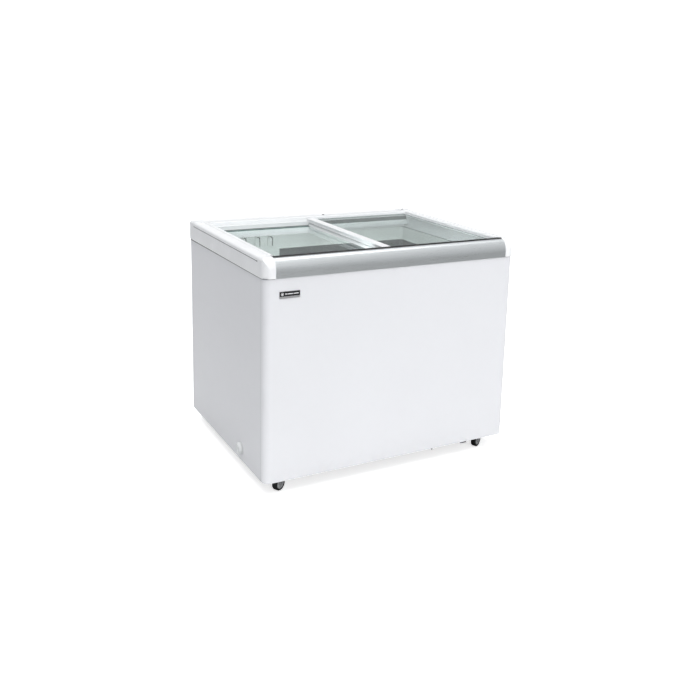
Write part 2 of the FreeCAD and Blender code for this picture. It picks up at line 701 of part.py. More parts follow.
# ------------------------------------------------------------------- badge
TRAY_FRONT = CAB_FRONT - 1.2
body = piece("badge_trim")
pad(body, "tray", "XZ", TRAY_FRONT, CAB_FRONT, rect(-457.0, -382.0, 704.0, 729.0))
body = piece("badge_plate")
pad(body, "face", "XZ", TRAY_FRONT - 1, TRAY_FRONT, rect(-456.0, -383.0, 712.0, 728.0))

# -------------------------------------------------------------------- lids
# front edge, rear edge and underside of each glass
RIGHT_LID = (FRAME_FRONT + 41, UPPER_WALL - 2, UPPER + 0.4)
LEFT_LID = (FRAME_FRONT + 55, LOWER_WALL - 2, LOWER + 0.4)
GLASS = dim("glass")
FIT = 0.02                        # clearance between glass and mouldings


def lid_glass(name, left, right, lid):
    front, rear, low = lid
    radius = 6.0
    x0, x1, y0, y1 = left + radius, right - radius, front + radius, rear - radius
    body = piece(name)
    pad(body, "sheet", "XY", low, low + GLASS, [
        (x0, front), (x1, front, (radius, x1, y0, True)),
        (right, y0), (right, y1, (radius, x1, y1, True)),
        (x1, rear), (x0, rear, (radius, x0, y1, True)),
        (left, y1), (left, y0, (radius, x0, y0, True)),
    ])
    rake(body)


def lid_handle(name, lid, section, fin, fin_front, fin_rear):
    """Grip over the glass, with a shorter fin under it that clears the ledges."""
    front, rear, _ = lid
    body = piece(name)
    pad(body, "profile", "XZ", front + 1, rear - 1, section)
    pad(body, "fin", "XZ", fin_front, fin_rear, fin)
    rake(body)


def lid_seal(name, side, lid):
    """Slim seal at the closing end."""
    front, rear, low = lid
    top = low + GLASS
    x_at = inward(side, OPEN)
    body = piece(name)
    pad(body, "profile", "XZ", front + 8, rear - 8, [
        (x_at(12), top + FIT), (x_at(12), top + 1.2), (x_at(1), top + 1.2),
        (x_at(1), low - 0.2), (x_at(3.9), low - 0.2), (x_at(3.9), top + FIT),
    ])
    rake(body)


lid_glass("right_lid_glass", -22.0, OPEN - 4, RIGHT_LID)
lid_glass("left_lid_glass", -OPEN + 4, 16.0, LEFT_LID)

# right lid: wide white grip along its left end, with a groove and a flared lip below
low = RIGHT_LID[2]
top = low + GLASS
lid_handle("right_lid_handle", RIGHT_LID, [
    (-29.0, low), (-22.1, low), (-22.1, top + FIT), (12.0, top + FIT),
    (11.0, top + 2), (6.0, top + 3.4), (-22.0, top + 4.6),
    (-28.0, top + 6.0), (-30.5, top + 5.0), (-31.0, top + 4.0),
    (-31.0, top + 3.0), (-27.5, top + 2.6), (-27.5, top),
], [
    (-31.0, low - 5.4), (-28.5, low - 5.4), (-26.5, low - 1.6), (10.0, low - 1.6),
    (10.0, low - FIT), (-22.1, low - FIT), (-22.1, low + 0.5), (-28.8, low + 0.5),
], FRAME_FRONT + 54, LOWER_WALL - 1)
lid_seal("right_lid_seal", 1, RIGHT_LID)

# left lid: grip along its right end with a flared left edge and two ridges
low = LEFT_LID[2]
top = low + GLASS
lid_handle("left_lid_handle", LEFT_LID, [
    (-31.0, top + FIT), (16.1, top + FIT), (16.1, low), (25.6, low),
    (26.0, low + 1.0), (26.0, top + 5.0), (24.5, top + 6.5), (14.0, top + 6.5),
    (12.5, top + 5.0), (11.5, top + 2.4), (7.5, top + 2.4), (6.5, top + 5.0),
    (5.0, top + 6.0), (-18.0, top + 9.0), (-26.0, top + 10.4), (-27.5, top + 9.6),
    (-31.0, top + 1.0),
], [
    (16.1, low + 0.5), (16.1, low - FIT), (-12.0, low - FIT), (-12.0, low - 2.0),
    (22.0, low - 2.0), (25.6, low + 0.5),
], FRAME_FRONT + 66, LOWER_WALL - 13)
lid_seal("left_lid_seal", -1, LEFT_LID)


# ------------------------------------------------------------------- drain
SLIDE_R = 10.0
NECK_R = 7.0
PORT_R = 6.5                      # bore of the riser and of its side port


def drain_cyl(name, radius, length, offset):
    """Cylinder along the drain's axis, starting at an x offset from the left side."""
    return cyl(name, radius, length, CAB_LEFT + offset, DRAIN_Y, DRAIN_Z, "x")


# fixed bushing: flange and tube through the side, riser up to the tub floor
bush = fuse("bush_solid", [
    drain_cyl("bush_flange", 23.0, 3.0, -3.0),
    drain_cyl("bush_tube", DRAIN_R, 98.0, 0.0),
    riser("bush_riser", RISER_R, TUB_FLOOR - DRAIN_Z),
])
keep(cut("drain_bushing", bush, [
    drain_cyl("bush_bore", SLIDE_R + GAP, 93.0, -4.0),
    riser("bush_riser_bore", PORT_R),
    drain_cyl("bush_port", PORT_R, 12.0, 84.0),
]))

# tube that slides in the bushing
slide = fuse("slide_solid", [drain_cyl("slide_tube", SLIDE_R, 78.0, -3.4),
                             drain_cyl("slide_neck", NECK_R, 12.0, -15.4)])
keep(cut("drain_slider", slide, [drain_cyl("slide_bore", 5.0, 82.0, -10.0)]))

# knob: disc with a pointed tip and a grip bar
disc = drain_cyl("knob_disc", 19.0, 13.0, -17.0)
pointer = new_body("knob_pointer")
pad(pointer, "tip", "YZ", CAB_LEFT - 17, CAB_LEFT - 4, [
    (DRAIN_Y - 10, DRAIN_Z - 5), (DRAIN_Y + 10, DRAIN_Z - 5), (DRAIN_Y + 16, DRAIN_Z + 9),
    (DRAIN_Y, DRAIN_Z + 23), (DRAIN_Y - 16, DRAIN_Z + 9),
])
grip = box("knob_grip", CAB_LEFT - KNOB_REACH, CAB_LEFT - 17,
           DRAIN_Y - 3.5, DRAIN_Y + 3.5, DRAIN_Z - 15, DRAIN_Z + 17)
keep(cut("drain_knob", fuse("knob_solid", [disc, pointer, grip]),
         [drain_cyl("knob_bore", NECK_R + GAP, 13.0, -15.6)]))

# ----------------------------------------------------------------- castors
WHEEL_R = dim("wheel_r")
TRAIL = dim("trail")
AXLE_R = dim("axle_r")
PIN_R = 5.0
PLATE_HALF = 30.0
FORK_HALF = 15.0
LEG_IN, LEG_OUT, RIVET_OUT = 12.2, 14.4, 15.6   # from the wheel's mid plane
RIM_R = 17.5                      # where the tyre sits on the hub
TREAD = WHEEL_R - 3               # centre of the tyre's edge rounding


def castor(tag, side_x, side_y, yaw):
    """Castor in four pieces; its own x is the rolling direction, turned by yaw."""
    swivel_x = dim("castor_x") * side_x
    swivel_y = dim("castor_y") * side_y

    def stand(body, level, turn, back):
        """Put a body on the swivel axis, turned, moved back along its own x."""
        angle = math.radians(turn)
        x = swivel_x - back * math.cos(angle)
        y = swivel_y - back * math.sin(angle)
        body.Placement = Placement(Vector(val(x), val(y), val(level)),
                                   Rotation(AXES["z"], turn))
        bind(body, "Placement.Base.x", x)
        bind(body, "Placement.Base.y", y)
        bind(body, "Placement.Base.z", level)

    # top plate with race and king pin
    body = piece(tag + "_plate")
    pad(body, "plate", "XY", BASE - 3, BASE,
        rect(-PLATE_HALF, PLATE_HALF, -PLATE_HALF, PLATE_HALF),
        *[circle(BOLT_R, BOLT_REACH * u, BOLT_REACH * v) for u, v in CORNERS])
    revolve(body, "pin", "XZ", [
        (0.0, BASE - 14.8), (9.0, BASE - 14.8), (9.0, BASE - 12.2), (PIN_R, BASE - 12.2),
        (PIN_R, BASE - 5.8), (17.0, BASE - 5.8), (17.0, BASE - 3), (0.0, BASE - 3)])
    stand(body, 0.0, 0.0, 0.0)

    # fork with riveted axle
    body = piece(tag + "_fork")
    revolve(body, "disc", "XZ", [
        (PIN_R + GAP, BASE - 12), (19.0, BASE - 12), (19.0, BASE - 7.5), (17.5, BASE - 6),
        (PIN_R + GAP, BASE - 6)])
    leg = [(-TRAIL - 8, WHEEL_R, (8.0, -TRAIL, WHEEL_R, True)), (-TRAIL + 8, WHEEL_R),
           (FORK_HALF, BASE - 10), (FORK_HALF, BASE - 8),
           (-FORK_HALF, BASE - 8), (-FORK_HALF, BASE - 14)]
    pad(body, "leg1", "XZ", -LEG_OUT, -LEG_IN, leg)
    pad(body, "leg2", "XZ", LEG_IN, LEG_OUT, leg)
    pad(body, "brow1", "XY", BASE - 10, BASE - 7.5, rect(-FORK_HALF, FORK_HALF, 9.0, LEG_OUT))
    pad(body, "brow2", "XY", BASE - 10, BASE - 7.5,
        rect(-FORK_HALF, FORK_HALF, -LEG_OUT, -9.0))
    pad(body, "axle", "XZ", -RIVET_OUT, RIVET_OUT, circle(AXLE_R, -TRAIL, WHEEL_R))
    pad(body, "rivet1", "XZ", -RIVET_OUT, -LEG_OUT, circle(5.0, -TRAIL, WHEEL_R))
    pad(body, "rivet2", "XZ", LEG_OUT, RIVET_OUT, circle(5.0, -TRAIL, WHEEL_R))
    stand(body, 0.0, yaw, 0.0)

    # hub and tyre turn on the axle
    body = piece(tag + "_hub")
    revolve(body, "hub", "XY", [
        (AXLE_R + GAP, -11.9), (6.5, -11.9), (6.5, -8.0), (13.5, -6.5), (15.0, -9.5),
        (RIM_R, -9.5), (RIM_R, 9.5), (15.0, 9.5), (13.5, 6.5), (6.5, 8.0), (6.5, 11.9),
        (AXLE_R + GAP, 11.9)])
    stand(body, WHEEL_R, yaw, TRAIL)
    body = piece(tag + "_tyre")
    revolve(body, "tyre", "XY", [
        (RIM_R, -10.0), (TREAD, -10.0, (3.0, TREAD, -7.0, True)), (WHEEL_R, -7.0),
        (WHEEL_R, 7.0, (3.0, TREAD, 7.0, True)), (TREAD, 10.0), (RIM_R, 10.0)])
    stand(body, WHEEL_R, yaw, TRAIL)


castor("front_left_castor", -1, -1, 27.0)
castor("front_right_castor", 1, -1, 27.0)
castor("rear_left_castor", -1, 1, -35.0)
castor("rear_right_castor", 1, 1, 12.0)

# ------------------------------------------------------------ cooling plant
PUMP_X, PUMP_Y = 378.0, 160.0     # compressor axis
# stubs on the compressor's left: y from its axis, height over the base sheet
DISCHARGE_Y, DISCHARGE_Z = 20.0, 110.0
SUCTION_Y, SUCTION_Z = -20.0, 130.0
STUB_END = -90.0

keep(box("compressor_tray", dim("room_left") + 4, CAB_RIGHT - 4, 20.0, 300.0,
         FLOOR, FLOOR + 2))
keep(group("compressor_mounts", [
    cyl("mount%d" % i, 12.0, 18.0, PUMP_X + 85 * u, PUMP_Y + 55 * v, FLOOR + 2)
    for i, (u, v) in enumerate(CORNERS)]))

body = piece("compressor")
pad(body, "foot", "XY", 20.0, 23.0, rect(-98.0, 98.0, -68.0, 68.0))
revolve(body, "shell", "XZ", [
    (0.0, 22.0), (52.0, 22.0, (20.0, 52.0, 42.0, True)), (72.0, 42.0), (72.0, 88.0),
    (75.0, 88.0), (75.0, 93.0), (72.0, 93.0), (72.0, 140.0, (42.0, 30.0, 140.0, True)),
    (30.0, 182.0), (0.0, 182.0)])
pad(body, "stub1", "YZ", STUB_END, -60.0, circle(4.0, DISCHARGE_Y, DISCHARGE_Z))
pad(body, "stub2", "YZ", STUB_END, -60.0, circle(5.0, SUCTION_Y, SUCTION_Z))
pad(body, "terminals", "YZ", 60.0, 94.0, rect(-30.0, 30.0, 60.0, 130.0))
body.Placement = Placement(Vector(PUMP_X, PUMP_Y, val(FLOOR)), Rotation())
bind(body, "Placement.Base.z", FLOOR)

# condenser: fins standing on a common strip, crossed by tubes
FIN_PITCH, FIN_GAPS, FIN_GAUGE = 16.0, 12, 4.0
COND_LEFT = 282.0
COND_RIGHT = COND_LEFT + FIN_PITCH * FIN_GAPS + FIN_GAUGE
STRIP_LOW, STRIP_TOP, FIN_TOP = 96.0, 106.0, 296.0
TUBE_Y = -253.0
TUBE_LEFT = COND_LEFT - 6
TUBE_LEVELS = (130.0, 175.0, 220.0, 265.0)
comb = [(COND_LEFT, STRIP_LOW), (COND_RIGHT, STRIP_LOW)]
for k in range(FIN_GAPS, -1, -1):
    x = COND_LEFT + FIN_PITCH * k
    comb += [(x + FIN_GAUGE, FIN_TOP), (x, FIN_TOP)]
    if k > 0:
        comb += [(x, STRIP_TOP), (x - FIN_PITCH + FIN_GAUGE, STRIP_TOP)]
body = piece("condenser")
pad(body, "fins", "XZ", -276.0, -230.0, comb)
for i, level in enumerate(TUBE_LEVELS):
    pad(body, "tube%d" % i, "YZ", TUBE_LEFT, COND_RIGHT + 6, circle(4.5, TUBE_Y, level))
pad(body, "foot", "XY", FLOOR, FLOOR + 22.8, rect(COND_LEFT, COND_RIGHT, -262.0, -244.0))

# fan: bracket with motor, blade wheel turning in its ring
FAN_X, FAN_Z = 380.0, 196.0
MOTOR_REAR = -128.0
SHAFT_R = 3.0
BLADES = 5


def spoke(degrees, inner, outer):
    """Strip 8 wide along a radius of the fan."""
    angle = math.radians(degrees)
    across, up = math.cos(angle), math.sin(angle)
    return [(FAN_X + r * across - w * up, FAN_Z + r * up + w * across)
            for r, w in ((inner, -4.0), (outer, -4.0), (outer, 4.0), (inner, 4.0))]


body = piece("fan_bracket")
pad(body, "plate", "XZ", -187.0, -184.0, rect(282.0, 478.0, FLOOR, 300.0),
    circle(84.0, FAN_X, FAN_Z))
pad(body, "motor", "XZ", -152.0, MOTOR_REAR, circle(24.0, FAN_X, FAN_Z))
for i in range(3):
    degrees = 90 + 120 * i
    pad(body, "arm%d" % i, "XZ", MOTOR_REAR - 3, MOTOR_REAR, spoke(degrees, 20.0, 92.0))
    pad(body, "post%d" % i, "XZ", -186.0, MOTOR_REAR, spoke(degrees, 86.0, 92.0))
pad(body, "shaft", "XZ", -176.0, -150.0, circle(SHAFT_R, FAN_X, FAN_Z))

wheel = [cyl("fan_hub", 20.0, 11.0, FAN_X, -176.0, FAN_Z, "y")]
for i in range(BLADES):
    blade = box("blade_%d" % i, 17.0, 78.0, -1.0, 1.0, -17.0, 17.0)
    turned = Rotation(AXES["y"], 360.0 / BLADES * i).multiply(Rotation(AXES["x"], 62.0))
    hub_centre = Placement(Vector(FAN_X, -170.5, FAN_Z), turned)
    blade.Placement = hub_centre.multiply(blade.Placement)
    wheel.append(blade)
keep(cut("fan_blade", fuse("fan_solid", wheel),
         [cyl("fan_bore", SHAFT_R + GAP, 20.0, FAN_X, -178.0, FAN_Z, "y")]))


def pipe(name, points, radius, bend):
    """Rod along a polyline with rounded bends.  The path turns in three
    directions, so the shape is computed."""
    points = [Vector(*p) for p in points]
    edges = []
    last = points[0]
    for before, corner, after in zip(points, points[1:], points[2:]):
        back = (before - corner).normalize()
        ahead = (after - corner).normalize()
        half = back.getAngle(ahead) / 2
        trim = bend / math.tan(half)
        bend_in = corner + back * trim
        bend_out = corner + ahead * trim
        middle = (back + ahead).normalize()
        on_arc = corner + middle * (bend / math.sin(half)) - middle * bend
        if (bend_in - last).Length > 1e-6:
            edges.append(Part.makeLine(last, bend_in))
        edges.append(Part.Arc(bend_in, on_arc, bend_out).toShape())
        last = bend_out
    edges.append(Part.makeLine(last, points[-1]))
    heading = (points[1] - points[0]).normalize()
    profile = Part.Wire([Part.makeCircle(radius, points[0], heading)])
    obj = doc.addObject("Part::Feature", name)
    obj.Shape = Part.Wire(edges).makePipeShell([profile], True, False)
    return obj


# evaporator: one tube wound round the tub in the recess of the insulation
COIL_R = 4.0
COIL_LOW = 440.0
COIL_PITCH = 48.0
COIL_TURNS = 5
standoff = VALUE["liner"] + COIL_R + 0.3      # tube centre from the tub's inner face
coil_x = VALUE["cavity_half"] + standoff
coil_front = VALUE["cavity_front"] - standoff
coil_rear = VALUE["cavity_rear"] + standoff
rise = COIL_PITCH / 4
path = []
for k in range(COIL_TURNS):
    z = COIL_LOW + COIL_PITCH * k
    path += [(-coil_x, coil_front, z), (coil_x, coil_front, z + rise),
             (coil_x, coil_rear, z + 2 * rise), (-coil_x, coil_rear, z + 3 * rise)]
# the tube starts halfway along the front and ends halfway along the left side
path[0] = (0.0, coil_front, COIL_LOW - 6)
path.append((-coil_x, 0.0, COIL_LOW + COIL_PITCH * COIL_TURNS - 4))
keep(pipe("evaporator_coil", path, COIL_R, VALUE["tub_radius"] + standoff))

# refrigerant lines between compressor and condenser, and up to the ceiling
stub_x = PUMP_X + STUB_END
discharge_x, discharge_y = PUMP_X - 112.0, PUMP_Y + DISCHARGE_Y
discharge_z = val(FLOOR) + DISCHARGE_Z
suction_x, suction_y = PUMP_X - 104.0, PUMP_Y + SUCTION_Y
suction_z = val(FLOOR) + SUCTION_Z
discharge = pipe("discharge_line", [
    (stub_x, discharge_y, discharge_z), (discharge_x, discharge_y, discharge_z),
    (discharge_x, TUBE_Y, discharge_z - 8.2), (discharge_x, TUBE_Y, TUBE_LEVELS[-1]),
    (TUBE_LEFT, TUBE_Y, TUBE_LEVELS[-1])], 3.0, 5.0)
suction = pipe("suction_line", [
    (stub_x, suction_y, suction_z), (suction_x, suction_y, suction_z),
    (suction_x, suction_y, VALUE["room_top"])], 4.0, 8.0)
keep(group("refrigerant_lines", [discharge, suction]))

# ------------------------------------------- grille, rear cover, power inlet
body = piece("side_grille")
pad(body, "frame", "YZ", CAB_RIGHT, CAB_RIGHT + 2, grille_rect(6), grille_rect(-8))
pad(body, "spigot", "YZ", CAB_RIGHT - 8, CAB_RIGHT, grille_rect(-0.5), grille_rect(-8))
for i in range(9):
    z = 127.0 + 18.0 * i
    pad(body, "louvre%d" % i, "XZ", 116.0, 324.0, [
        (CAB_RIGHT - 0.2, z - 5), (CAB_RIGHT + 1.4, z - 5),
        (CAB_RIGHT - 5.4, z + 5), (CAB_RIGHT - 7, z + 5)])

COVER_REAR = CAB_REAR + 1.2
slots = []
for i in range(4):
    z = 262.0 + 13.0 * i
    slots += [rect(x, x + 65.0, z - 2.5, z + 2.5) for x in (280.0, 372.0)]
body = piece("rear_cover")
pad(body, "sheet", "XZ", CAB_REAR, COVER_REAR,
    rect(dim("room_left") + 4, BACK_EDGE - 6, 84.0, 320.0), *slots,
    rect(288.0, 316.0, 110.0, 131.0))

body = piece("power_inlet")
pad(body, "flange", "XZ", COVER_REAR, COVER_REAR + 1.95, rect(282.0, 322.0, 104.0, 137.0))
pad(body, "shell", "XZ", COVER_REAR - 24, COVER_REAR, rect(288.5, 315.5, 110.5, 130.5))
pocket(body, "well", "XZ", CAB_REAR - 16, CAB_REAR + 4, rect(291.5, 312.5, 113.5, 127.5))

# -------------------------------------------------------------- thermostat
DIAL_SHAFT_R = 3.0
SCOOP_IN, SCOOP_OUT = 3.2, 18.0   # scoops leave a grip bar across the dial
body = piece("thermostat_body")
pad(body, "bezel", "YZ", CAB_RIGHT, CAB_RIGHT + 2, circle(21.0, DIAL_Y, DIAL_Z))
pad(body, "neck", "YZ", CAB_RIGHT - 1.2, CAB_RIGHT + 0.2, circle(7.9, DIAL_Y, DIAL_Z))
pad(body, "case", "YZ", CAB_RIGHT - 27, CAB_RIGHT - 1.1,
    rect(DIAL_Y - 21, DIAL_Y + 21, DIAL_Z - 21, DIAL_Z + 21))
pad(body, "shaft", "YZ", CAB_RIGHT + 1, CAB_RIGHT + 15, circle(DIAL_SHAFT_R, DIAL_Y, DIAL_Z))

# drawn facing up, then turned to face right
body = piece("thermostat_knob")
revolve(body, "dial", "XZ", [
    (DIAL_SHAFT_R + GAP, 0.0), (17.0, 0.0), (17.0, 3.0), (14.5, KNOB_REACH - 4.6),
    (13.0, KNOB_REACH - 2.6), (0.0, KNOB_REACH - 2.6), (0.0, 13.0),
    (DIAL_SHAFT_R + GAP, 13.0)])
pocket(body, "scoop1", "XY", 6.0, KNOB_REACH, rect(SCOOP_IN, SCOOP_OUT, -18.0, 18.0))
pocket(body, "scoop2", "XY", 6.0, KNOB_REACH, rect(-SCOOP_OUT, -SCOOP_IN, -18.0, 18.0))
knob_x = CAB_RIGHT + 2.6
body.Placement = Placement(Vector(val(knob_x), val(DIAL_Y), val(DIAL_Z)),
                           Rotation(AXES["y"], 90.0))
bind(body, "Placement.Base.x", knob_x)
bind(body, "Placement.Base.y", DIAL_Y)
bind(body, "Placement.Base.z", DIAL_Z)

# clip and screw head under the front skirt
keep(group("skirt_clips", [
    box("skirt_clip", 310.0, 336.0, INNER_FRONT, CAB_FRONT + 9,
        CAB_BOTTOM - 5.2, CAB_BOTTOM + 12),
    cyl("skirt_stud", 4.0, 26.0, 180.0, CAB_FRONT + 7, CAB_BOTTOM - 6),
]))

doc.recompute()

# -------------------------------------------------------- check and export
bad = ["%s %s" % (obj.Name, obj.State) for obj in doc.Objects
       if "Invalid" in obj.State or "Error" in obj.State]
bad += [obj.Label + " shape" for obj in NODES
        if obj.Shape.isNull() or not obj.Shape.isValid()]
if bad:
    raise SystemExit("build stopped: " + "; ".join(bad))

os.makedirs("parts", exist_ok=True)
for obj in NODES:
    obj.Shape.exportStep("parts/%s.step" % obj.Label)
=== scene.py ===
import bpy, bmesh, math, json, random
from mathutils import Vector, Matrix


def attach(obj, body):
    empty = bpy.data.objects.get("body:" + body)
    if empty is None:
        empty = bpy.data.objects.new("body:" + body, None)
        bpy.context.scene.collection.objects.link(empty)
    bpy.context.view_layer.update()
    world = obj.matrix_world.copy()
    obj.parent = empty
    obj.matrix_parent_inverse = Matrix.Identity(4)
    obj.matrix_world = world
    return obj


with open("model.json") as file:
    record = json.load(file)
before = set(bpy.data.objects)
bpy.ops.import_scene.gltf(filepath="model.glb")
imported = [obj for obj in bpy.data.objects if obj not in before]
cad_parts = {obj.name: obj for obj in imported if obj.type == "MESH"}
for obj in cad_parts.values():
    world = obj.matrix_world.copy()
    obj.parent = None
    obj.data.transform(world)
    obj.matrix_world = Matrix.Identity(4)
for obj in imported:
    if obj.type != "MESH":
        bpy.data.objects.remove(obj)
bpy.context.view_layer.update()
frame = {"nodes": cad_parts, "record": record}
NODES = frame["nodes"]
MM = 0.001
random.seed(7)


# ---------------------------------------------------------------- materials
class Tree:
    """A small wrapper that keeps node set-up readable."""

    def __init__(self, name):
        self.mat = bpy.data.materials.new(name)
        self.mat.use_nodes = True
        self.t = self.mat.node_tree
        self.t.nodes.clear()
        self.out = self.t.nodes.new("ShaderNodeOutputMaterial")
        self.geo = self.add("ShaderNodeNewGeometry")
        self.pos = self.geo.outputs["Position"]
        tc = self.add("ShaderNodeTexCoord")
        self.obj = tc.outputs["Object"]

    def add(self, kind, **props):
        n = self.t.nodes.new(kind)
        for k, v in props.items():
            setattr(n, k, v)
        return n

    def set(self, socket, value):
        if isinstance(value, bpy.types.NodeSocket):
            self.t.links.new(value, socket)
        elif isinstance(value, (tuple, list)):
            v = list(value)
            if socket.type == "RGBA" and len(v) == 3:
                v.append(1.0)
            socket.default_value = v
        else:
            socket.default_value = value

    def math(self, op, a, b=0.0, clamp=False):
        n = self.add("ShaderNodeMath", operation=op, use_clamp=clamp)
        self.set(n.inputs[0], a)
        if len(n.inputs) > 1:
            self.set(n.inputs[1], b)
        return n.outputs[0]

    def noise(self, scale, detail=3.0, rough=0.5, vec=None, distort=0.0):
        n = self.add("ShaderNodeTexNoise")
        self.set(n.inputs["Vector"], vec if vec is not None else self.obj)
        self.set(n.inputs["Scale"], scale)
        self.set(n.inputs["Detail"], detail)
        self.set(n.inputs["Roughness"], rough)
        self.set(n.inputs["Distortion"], distort)
        return n.outputs["Fac"]

    def stretch(self, sx, sy, sz):
        n = self.add("ShaderNodeMapping")
        self.set(n.inputs["Vector"], self.obj)
        n.inputs["Scale"].default_value = (sx, sy, sz)
        return n.outputs["Vector"]

    def voronoi(self, scale, vec=None, feature="F1", rand=1.0):
        n = self.add("ShaderNodeTexVoronoi", feature=feature)
        self.set(n.inputs["Vector"], vec if vec is not None else self.obj)
        self.set(n.inputs["Scale"], scale)
        if "Randomness" in n.inputs:
            self.set(n.inputs["Randomness"], rand)
        return n

    def map(self, value, lo, hi, a, b, smooth=False):
        n = self.add("ShaderNodeMapRange")
        if smooth:
            n.interpolation_type = "SMOOTHSTEP"
        self.set(n.inputs[0], value)
        for i, v in ((1, lo), (2, hi), (3, a), (4, b)):
            self.set(n.inputs[i], v)
        return n.outputs[0]

    def mix(self, fac, a, b, kind="MIX"):
        n = self.add("ShaderNodeMix", data_type="RGBA", blend_type=kind)
        self.set(n.inputs[0], fac)
        self.set(n.inputs[6], a)
        self.set(n.inputs[7], b)
        return n.outputs[2]

    def xyz(self, vec=None):
        n = self.add("ShaderNodeSeparateXYZ")
        self.set(n.inputs[0], vec if vec is not None else self.obj)
        return n.outputs[0], n.outputs[1], n.outputs[2]

    def edge(self, radius=0.002, lo=0.02, hi=0.35):
        """1 on sharp or rounded edges, 0 on flat faces."""
        b = self.add("ShaderNodeBevel", samples=4)
        b.inputs["Radius"].default_value = radius
        dot = self.add("ShaderNodeVectorMath", operation="DOT_PRODUCT")
        self.set(dot.inputs[0], b.outputs[0])
        self.set(dot.inputs[1], self.geo.outputs["Normal"])
        inv = self.math("SUBTRACT", 1.0, dot.outputs["Value"], clamp=True)
        return self.map(inv, lo, hi, 0.0, 1.0)

    def bump(self, height, strength=0.2, distance=0.0005, normal=None):
        n = self.add("ShaderNodeBump")
        n.inputs["Strength"].default_value = strength
        n.inputs["Distance"].default_value = distance
        self.set(n.inputs["Height"], height)
        if normal is not None:
            self.set(n.inputs["Normal"], normal)
        return n.outputs[0]

    def shader(self, color, rough, metal=0.0, normal=None, spec=0.5, coat=0.0, coat_rough=0.1, aniso=0.0, sss=0.0, alpha=None):
        n = self.add("ShaderNodeBsdfPrincipled")
        self.set(n.inputs["Base Color"], color)
        self.set(n.inputs["Roughness"], rough)
        self.set(n.inputs["Metallic"], metal)
        self.set(n.inputs["Specular IOR Level"], spec)
        if coat:
            self.set(n.inputs["Coat Weight"], coat)
            self.set(n.inputs["Coat Roughness"], coat_rough)
        if aniso:
            self.set(n.inputs["Anisotropic"], aniso)
        if sss:
            self.set(n.inputs["Subsurface Weight"], sss)
            n.inputs["Subsurface Scale"].default_value = 0.004
        if normal is not None:
            self.set(n.inputs["Normal"], normal)
        if alpha is not None:
            self.set(n.inputs["Alpha"], alpha)
        self.t.links.new(n.outputs[0], self.out.inputs["Surface"])
        return n


def sheet_paint(name, base, rough=0.32, shade=0.04, dirt=0.0):
    """Powder-coated steel sheet: orange peel, faint clouding and handling marks."""
    k = Tree(name)
    cloud = k.noise(2.3, 4, 0.55)
    fine = k.noise(38, 3, 0.6)
    dark = tuple(c * (1 - shade) for c in base)
    col = k.mix(k.map(cloud, 0.35, 0.68, 0, 1, True), base, dark)
    col = k.mix(k.math("MULTIPLY", k.map(fine, 0.45, 0.75, 0, 1), 0.12), col, tuple(c * 0.93 for c in base))
    x, y, z = k.xyz()
    low = k.map(z, 0.052, 0.14, 1.0, 0.0, True)
    scuff = k.math("MULTIPLY", low, k.map(k.noise(22, 5, 0.7), 0.5, 0.75, 0, 1))
    if dirt:
        col = k.mix(k.math("MULTIPLY", scuff, dirt), col, tuple(c * f for c, f in zip(base, (0.80, 0.79, 0.76))))
    wipe = k.noise(3.0, 5, 0.65, k.stretch(1.0, 1.0, 4.0), 0.6)
    r = k.map(wipe, 0.3, 0.75, rough - 0.05, rough + 0.08)
    peel = k.noise(420, 2, 0.5)
    roll = k.noise(16, 2, 0.4)
    n1 = k.bump(peel, 0.10, 0.0003)
    n2 = k.bump(roll, 0.05, 0.0012, n1)
    k.shader(col, r, 0.0, n2, 0.5, 0.25, 0.12)
    return k.mat


def moulded(name, base, rough=0.4, grain=260, depth=0.06, shade=0.05, wear=0.0, coat=0.0, dust=0.0, steady=False):
    """Injection-moulded plastic: fine grain, slight clouding, polished or worn edges, dust in patches.
    steady keeps the base roughness even and lets the gloss level and a thin coat vary instead."""
    k = Tree(name)
    cloud = k.noise(7, 3, 0.5)
    light = tuple(min(1.0, c * 1.03 + 0.004) for c in base)
    dark = tuple(c * (1 - shade) for c in base)
    col = k.mix(k.map(cloud, 0.3, 0.7, 0, 1, True), dark, light)
    r = k.map(k.noise(26, 4, 0.6), 0.3, 0.7, rough - 0.05, rough + 0.07)
    scratch = k.noise(9, 4, 0.6, k.stretch(1.0, 14.0, 5.0), 0.2)
    r = k.math("ADD", r, k.map(scratch, 0.60, 0.72, 0.0, 0.10), True)
    if wear:
        worn = k.math("MULTIPLY", k.edge(0.0010), k.map(k.noise(55, 4, 0.6), 0.42, 0.62, 0, wear))
        col = k.mix(worn, col, tuple(min(1.0, c * 1.10 + 0.03) for c in base))
    if dust:
        col = k.mix(k.map(k.noise(30, 5, 0.7), 0.5, 0.75, 0, dust), col, (0.42, 0.41, 0.39))
    n = k.bump(k.noise(grain, 2, 0.5), depth, 0.0004)
    if steady:
        gloss = k.map(k.noise(26, 4, 0.6), 0.3, 0.7, 0.42, 0.54)
        haze = k.map(k.noise(12, 4, 0.6), 0.3, 0.7, 0.20, 0.30)
        k.shader(col, rough, 0.0, n, gloss, 0.12, haze)
    else:
        k.shader(col, r, 0.0, n, 0.5, coat, 0.15)
    return k.mat


